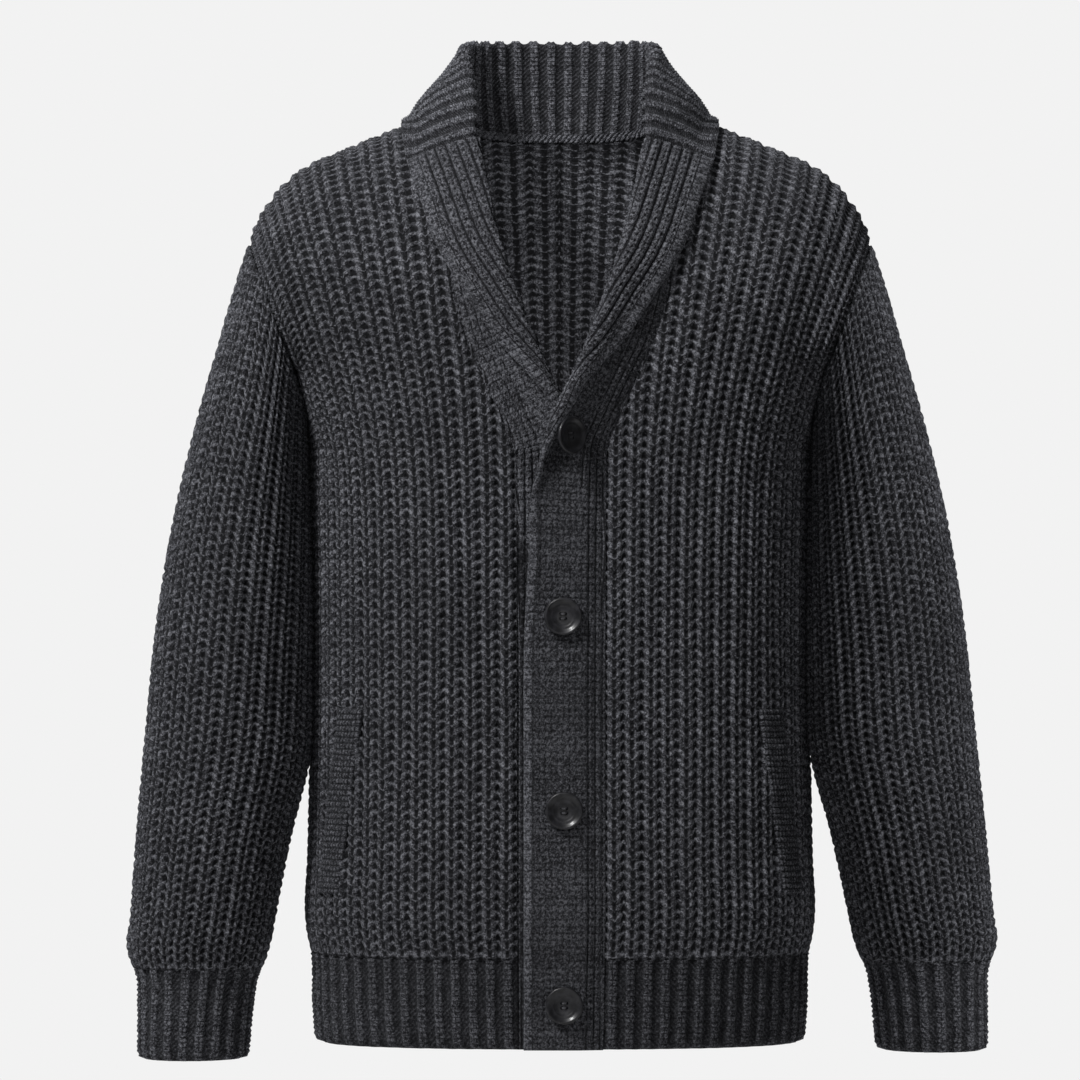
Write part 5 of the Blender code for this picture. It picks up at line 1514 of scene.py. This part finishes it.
def thread_material():
    n = Nodes("sewing_thread")
    fibres = n.noise(n.node("ShaderNodeTexCoord", out="Object"), 3200.0, 3.0, 0.6)
    colour = n.mix(n.ramp(fibres, 0.35, 0.65), (0.030, 0.030, 0.034, 1), (0.140, 0.140, 0.155, 1))
    n.set(Base_Color=colour, Roughness=0.7, Normal=n.bump(0.6, 0.0002, fibres))
    return n.look


def floor_material():
    n = Nodes("studio_floor")
    cloud = n.noise(n.node("ShaderNodeTexCoord", out="Object"), 3.0)
    colour = n.mix(cloud, (0.86, 0.86, 0.86, 1), (0.89, 0.89, 0.89, 1))
    n.set(Base_Color=colour, Roughness=0.8, Specular_IOR_Level=0.1)
    return n.look


# All the wool is one yarn. The gains make lighter and darker copies of it, matched to how bright each part looks in
# its light: painted light and shade. cuff_wool is rib_wool painted lighter.
chunky = knit_look("chunky_wool", CHUNKY_HOLLOWS, 2.0, 0.94)
rib_look = knit_look("rib_wool", RIB_HOLLOWS, 1.0, 0.62)
cuff_look = knit_look("cuff_wool", RIB_HOLLOWS, 1.0, 0.83)
welt_look = knit_look("welt_wool", WELT_HOLLOWS, 1.0, 0.78)
collar_look = knit_look("collar_wool", PAIRS_HOLLOWS, 1.0, 0.90)
lapel_look = knit_look("lapel_wool", LINKS_HOLLOWS, 1.0, 0.72, -10)
button_look = button_material()
thread_look = thread_material()

# Making

LAST_RING = len(SLEEVE_RINGS) - 1
pieces = {
    "left_front": panel("left_front_knit", FRONT, 1, chunky, 11),
    "right_front": panel("right_front_knit", FRONT, -1, chunky, 13),
    "back": panel("back_knit", BACK, 1, chunky, 15),
    "left_front_hem": hem("left_front_hem_rib", FRONT, 1, rib_look, 21),
    "right_front_hem": hem("right_front_hem_rib", FRONT, -1, rib_look, 23),
    "back_hem": hem("back_hem_rib", BACK, 1, rib_look, 25),
}
for side_name, side, seed in (("left", 1, 31), ("right", -1, 37)):
    knit = (CHUNKY, RIBS_SLEEVE, 0, CUFF_SEAM, SLEEVE_ROWS, chunky)
    pieces[f"{side_name}_sleeve"] = sleeve(f"{side_name}_sleeve_knit", side, *knit, seed)
    rib = (PAIRS, RIBS_CUFF, CUFF_SEAM, LAST_RING, CUFF_ROWS, cuff_look)
    pieces[f"{side_name}_cuff"] = sleeve(f"{side_name}_cuff_rib", side, *rib, seed + 3)
pieces["right_band_lapel"] = strip("right_band_lapel_knit", -1, "under", lapel_look, 41)
pieces["left_band_lapel"] = strip("left_band_lapel_knit", 1, "over", lapel_look, 43)
pieces["back_collar"] = collar("back_collar_knit", collar_look, 47)
pieces["left_pocket_welt"] = welt("left_pocket_welt_rib", 1, welt_look, 51)
pieces["right_pocket_welt"] = welt("right_pocket_welt_rib", -1, welt_look, 53)
chain = neck_chain("neck_seam_chain", collar_look)
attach(chain, "root")
for number, turn in enumerate(BUTTON_TURNS):
    node = f"button_{number + 1}"
    pieces[node], thread = button(f"{node}_dished", node, turn, button_look, thread_look)
    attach(thread, "root")


for node, piece in pieces.items():
    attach(piece, "root")
    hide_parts(node)


# Floor, light and camera

FLOOR_RADIUS = 1.15
FLOOR_Z = -0.86
WORLD_LIGHT = 0.07
BACKDROP = 0.888  # what the camera sees behind the cardigan, as a level of grey
FRAME_WIDTH = 0.8208  # what the frame shows, at the cardigan
CAMERA_AWAY = 5.0


def area_light(name, place, target, size, power):
    data = bpy.data.lights.new(name, "AREA")
    data.shape = "DISK"
    data.size = size
    data.energy = power
    made = bpy.data.objects.new(name, data)
    made.location = place
    made.rotation_euler = (Vector(target) - Vector(place)).to_track_quat("-Z", "Y").to_euler()
    bpy.context.scene.collection.objects.link(made)
    return made


def light_only(light, chosen, left_out=False):
    """Makes a light shine on the chosen pieces only, or on all but them."""
    group = bpy.data.collections.new(light.name + "_lights")
    for piece in chosen:
        group.objects.link(piece)
    light.light_linking.receiver_collection = group
    if left_out:
        for entry in group.collection_objects:
            entry.light_linking.link_state = "EXCLUDE"


MIDDLE = (0.0, 0.0, -0.32)
NECK = (0.0, 0.0, -0.1)
key = area_light("key", (-1.66, -1.85, 2.0), (0.0, 0.0, 0.0), 0.80, 14.0)
key.data.spread = math.radians(70)
arm_key = area_light("arm_key", (1.9, -2.1, 1.9), MIDDLE, 0.7, 62.0)
neck_key = area_light("neck_key", (-0.1, -4.4, 0.9), NECK, 0.8, 84.0)
collar_key = area_light("collar_key", (1.8, -3.6, 1.4), NECK, 0.8, 34.0)
side_key = area_light("side_key", (2.0, -2.2, 1.6), (0.1, 0.0, 0.0), 0.8, 12.0)
area_light("front", (-0.2, -4.6, 0.3), MIDDLE, 1.8, 8.0)
area_light("back", (-0.8, 3.2, 1.4), MIDDLE, 1.2, 35.0)
left_arm = (pieces["left_sleeve"], pieces["left_cuff"])
light_only(key, left_arm, True)
light_only(arm_key, left_arm)
light_only(neck_key, (pieces["back"],))
light_only(collar_key, (pieces["back_collar"], chain))
light_only(side_key, (pieces["left_front"], pieces["left_band_lapel"]))

turns = np.linspace(0, 2 * math.pi, 97)[:-1]
ring = [(FLOOR_RADIUS * math.cos(a), FLOOR_RADIUS * math.sin(a), FLOOR_Z) for a in turns]
floor_mesh = bpy.data.meshes.new("floor")
floor_mesh.from_pydata(ring, [], [list(range(len(ring)))])
floor_mesh.materials.append(floor_material())
floor = bpy.data.objects.new("floor", floor_mesh)
bpy.context.scene.collection.objects.link(floor)

scene = bpy.context.scene
world = scene.world or bpy.data.worlds.new("studio")
scene.world = world
world.use_nodes = True
nodes = world.node_tree.nodes
links = world.node_tree.links
paths = nodes.new("ShaderNodeLightPath")
backdrop = nodes.new("ShaderNodeBackground")
both = nodes.new("ShaderNodeMixShader")
soft = nodes["Background"]
soft.inputs[0].default_value = (1.0, 1.0, 1.0, 1)
soft.inputs[1].default_value = WORLD_LIGHT
backdrop.inputs[0].default_value = (BACKDROP, BACKDROP, BACKDROP, 1)
links.new(paths.outputs["Is Camera Ray"], both.inputs[0])
links.new(soft.outputs[0], both.inputs[1])
links.new(backdrop.outputs[0], both.inputs[2])
links.new(both.outputs[0], nodes["World Output"].inputs[0])
scene.view_settings.view_transform = "Standard"

camera_data = bpy.data.cameras.new("camera")
camera_data.sensor_width = 36.0
camera_data.lens = camera_data.sensor_width * CAMERA_AWAY / FRAME_WIDTH
camera = bpy.data.objects.new("camera", camera_data)
camera.location = (-0.0152, -CAMERA_AWAY, -0.304)
camera.rotation_euler = (math.pi / 2, 0, 0)
scene.collection.objects.link(camera)
scene.camera = camera
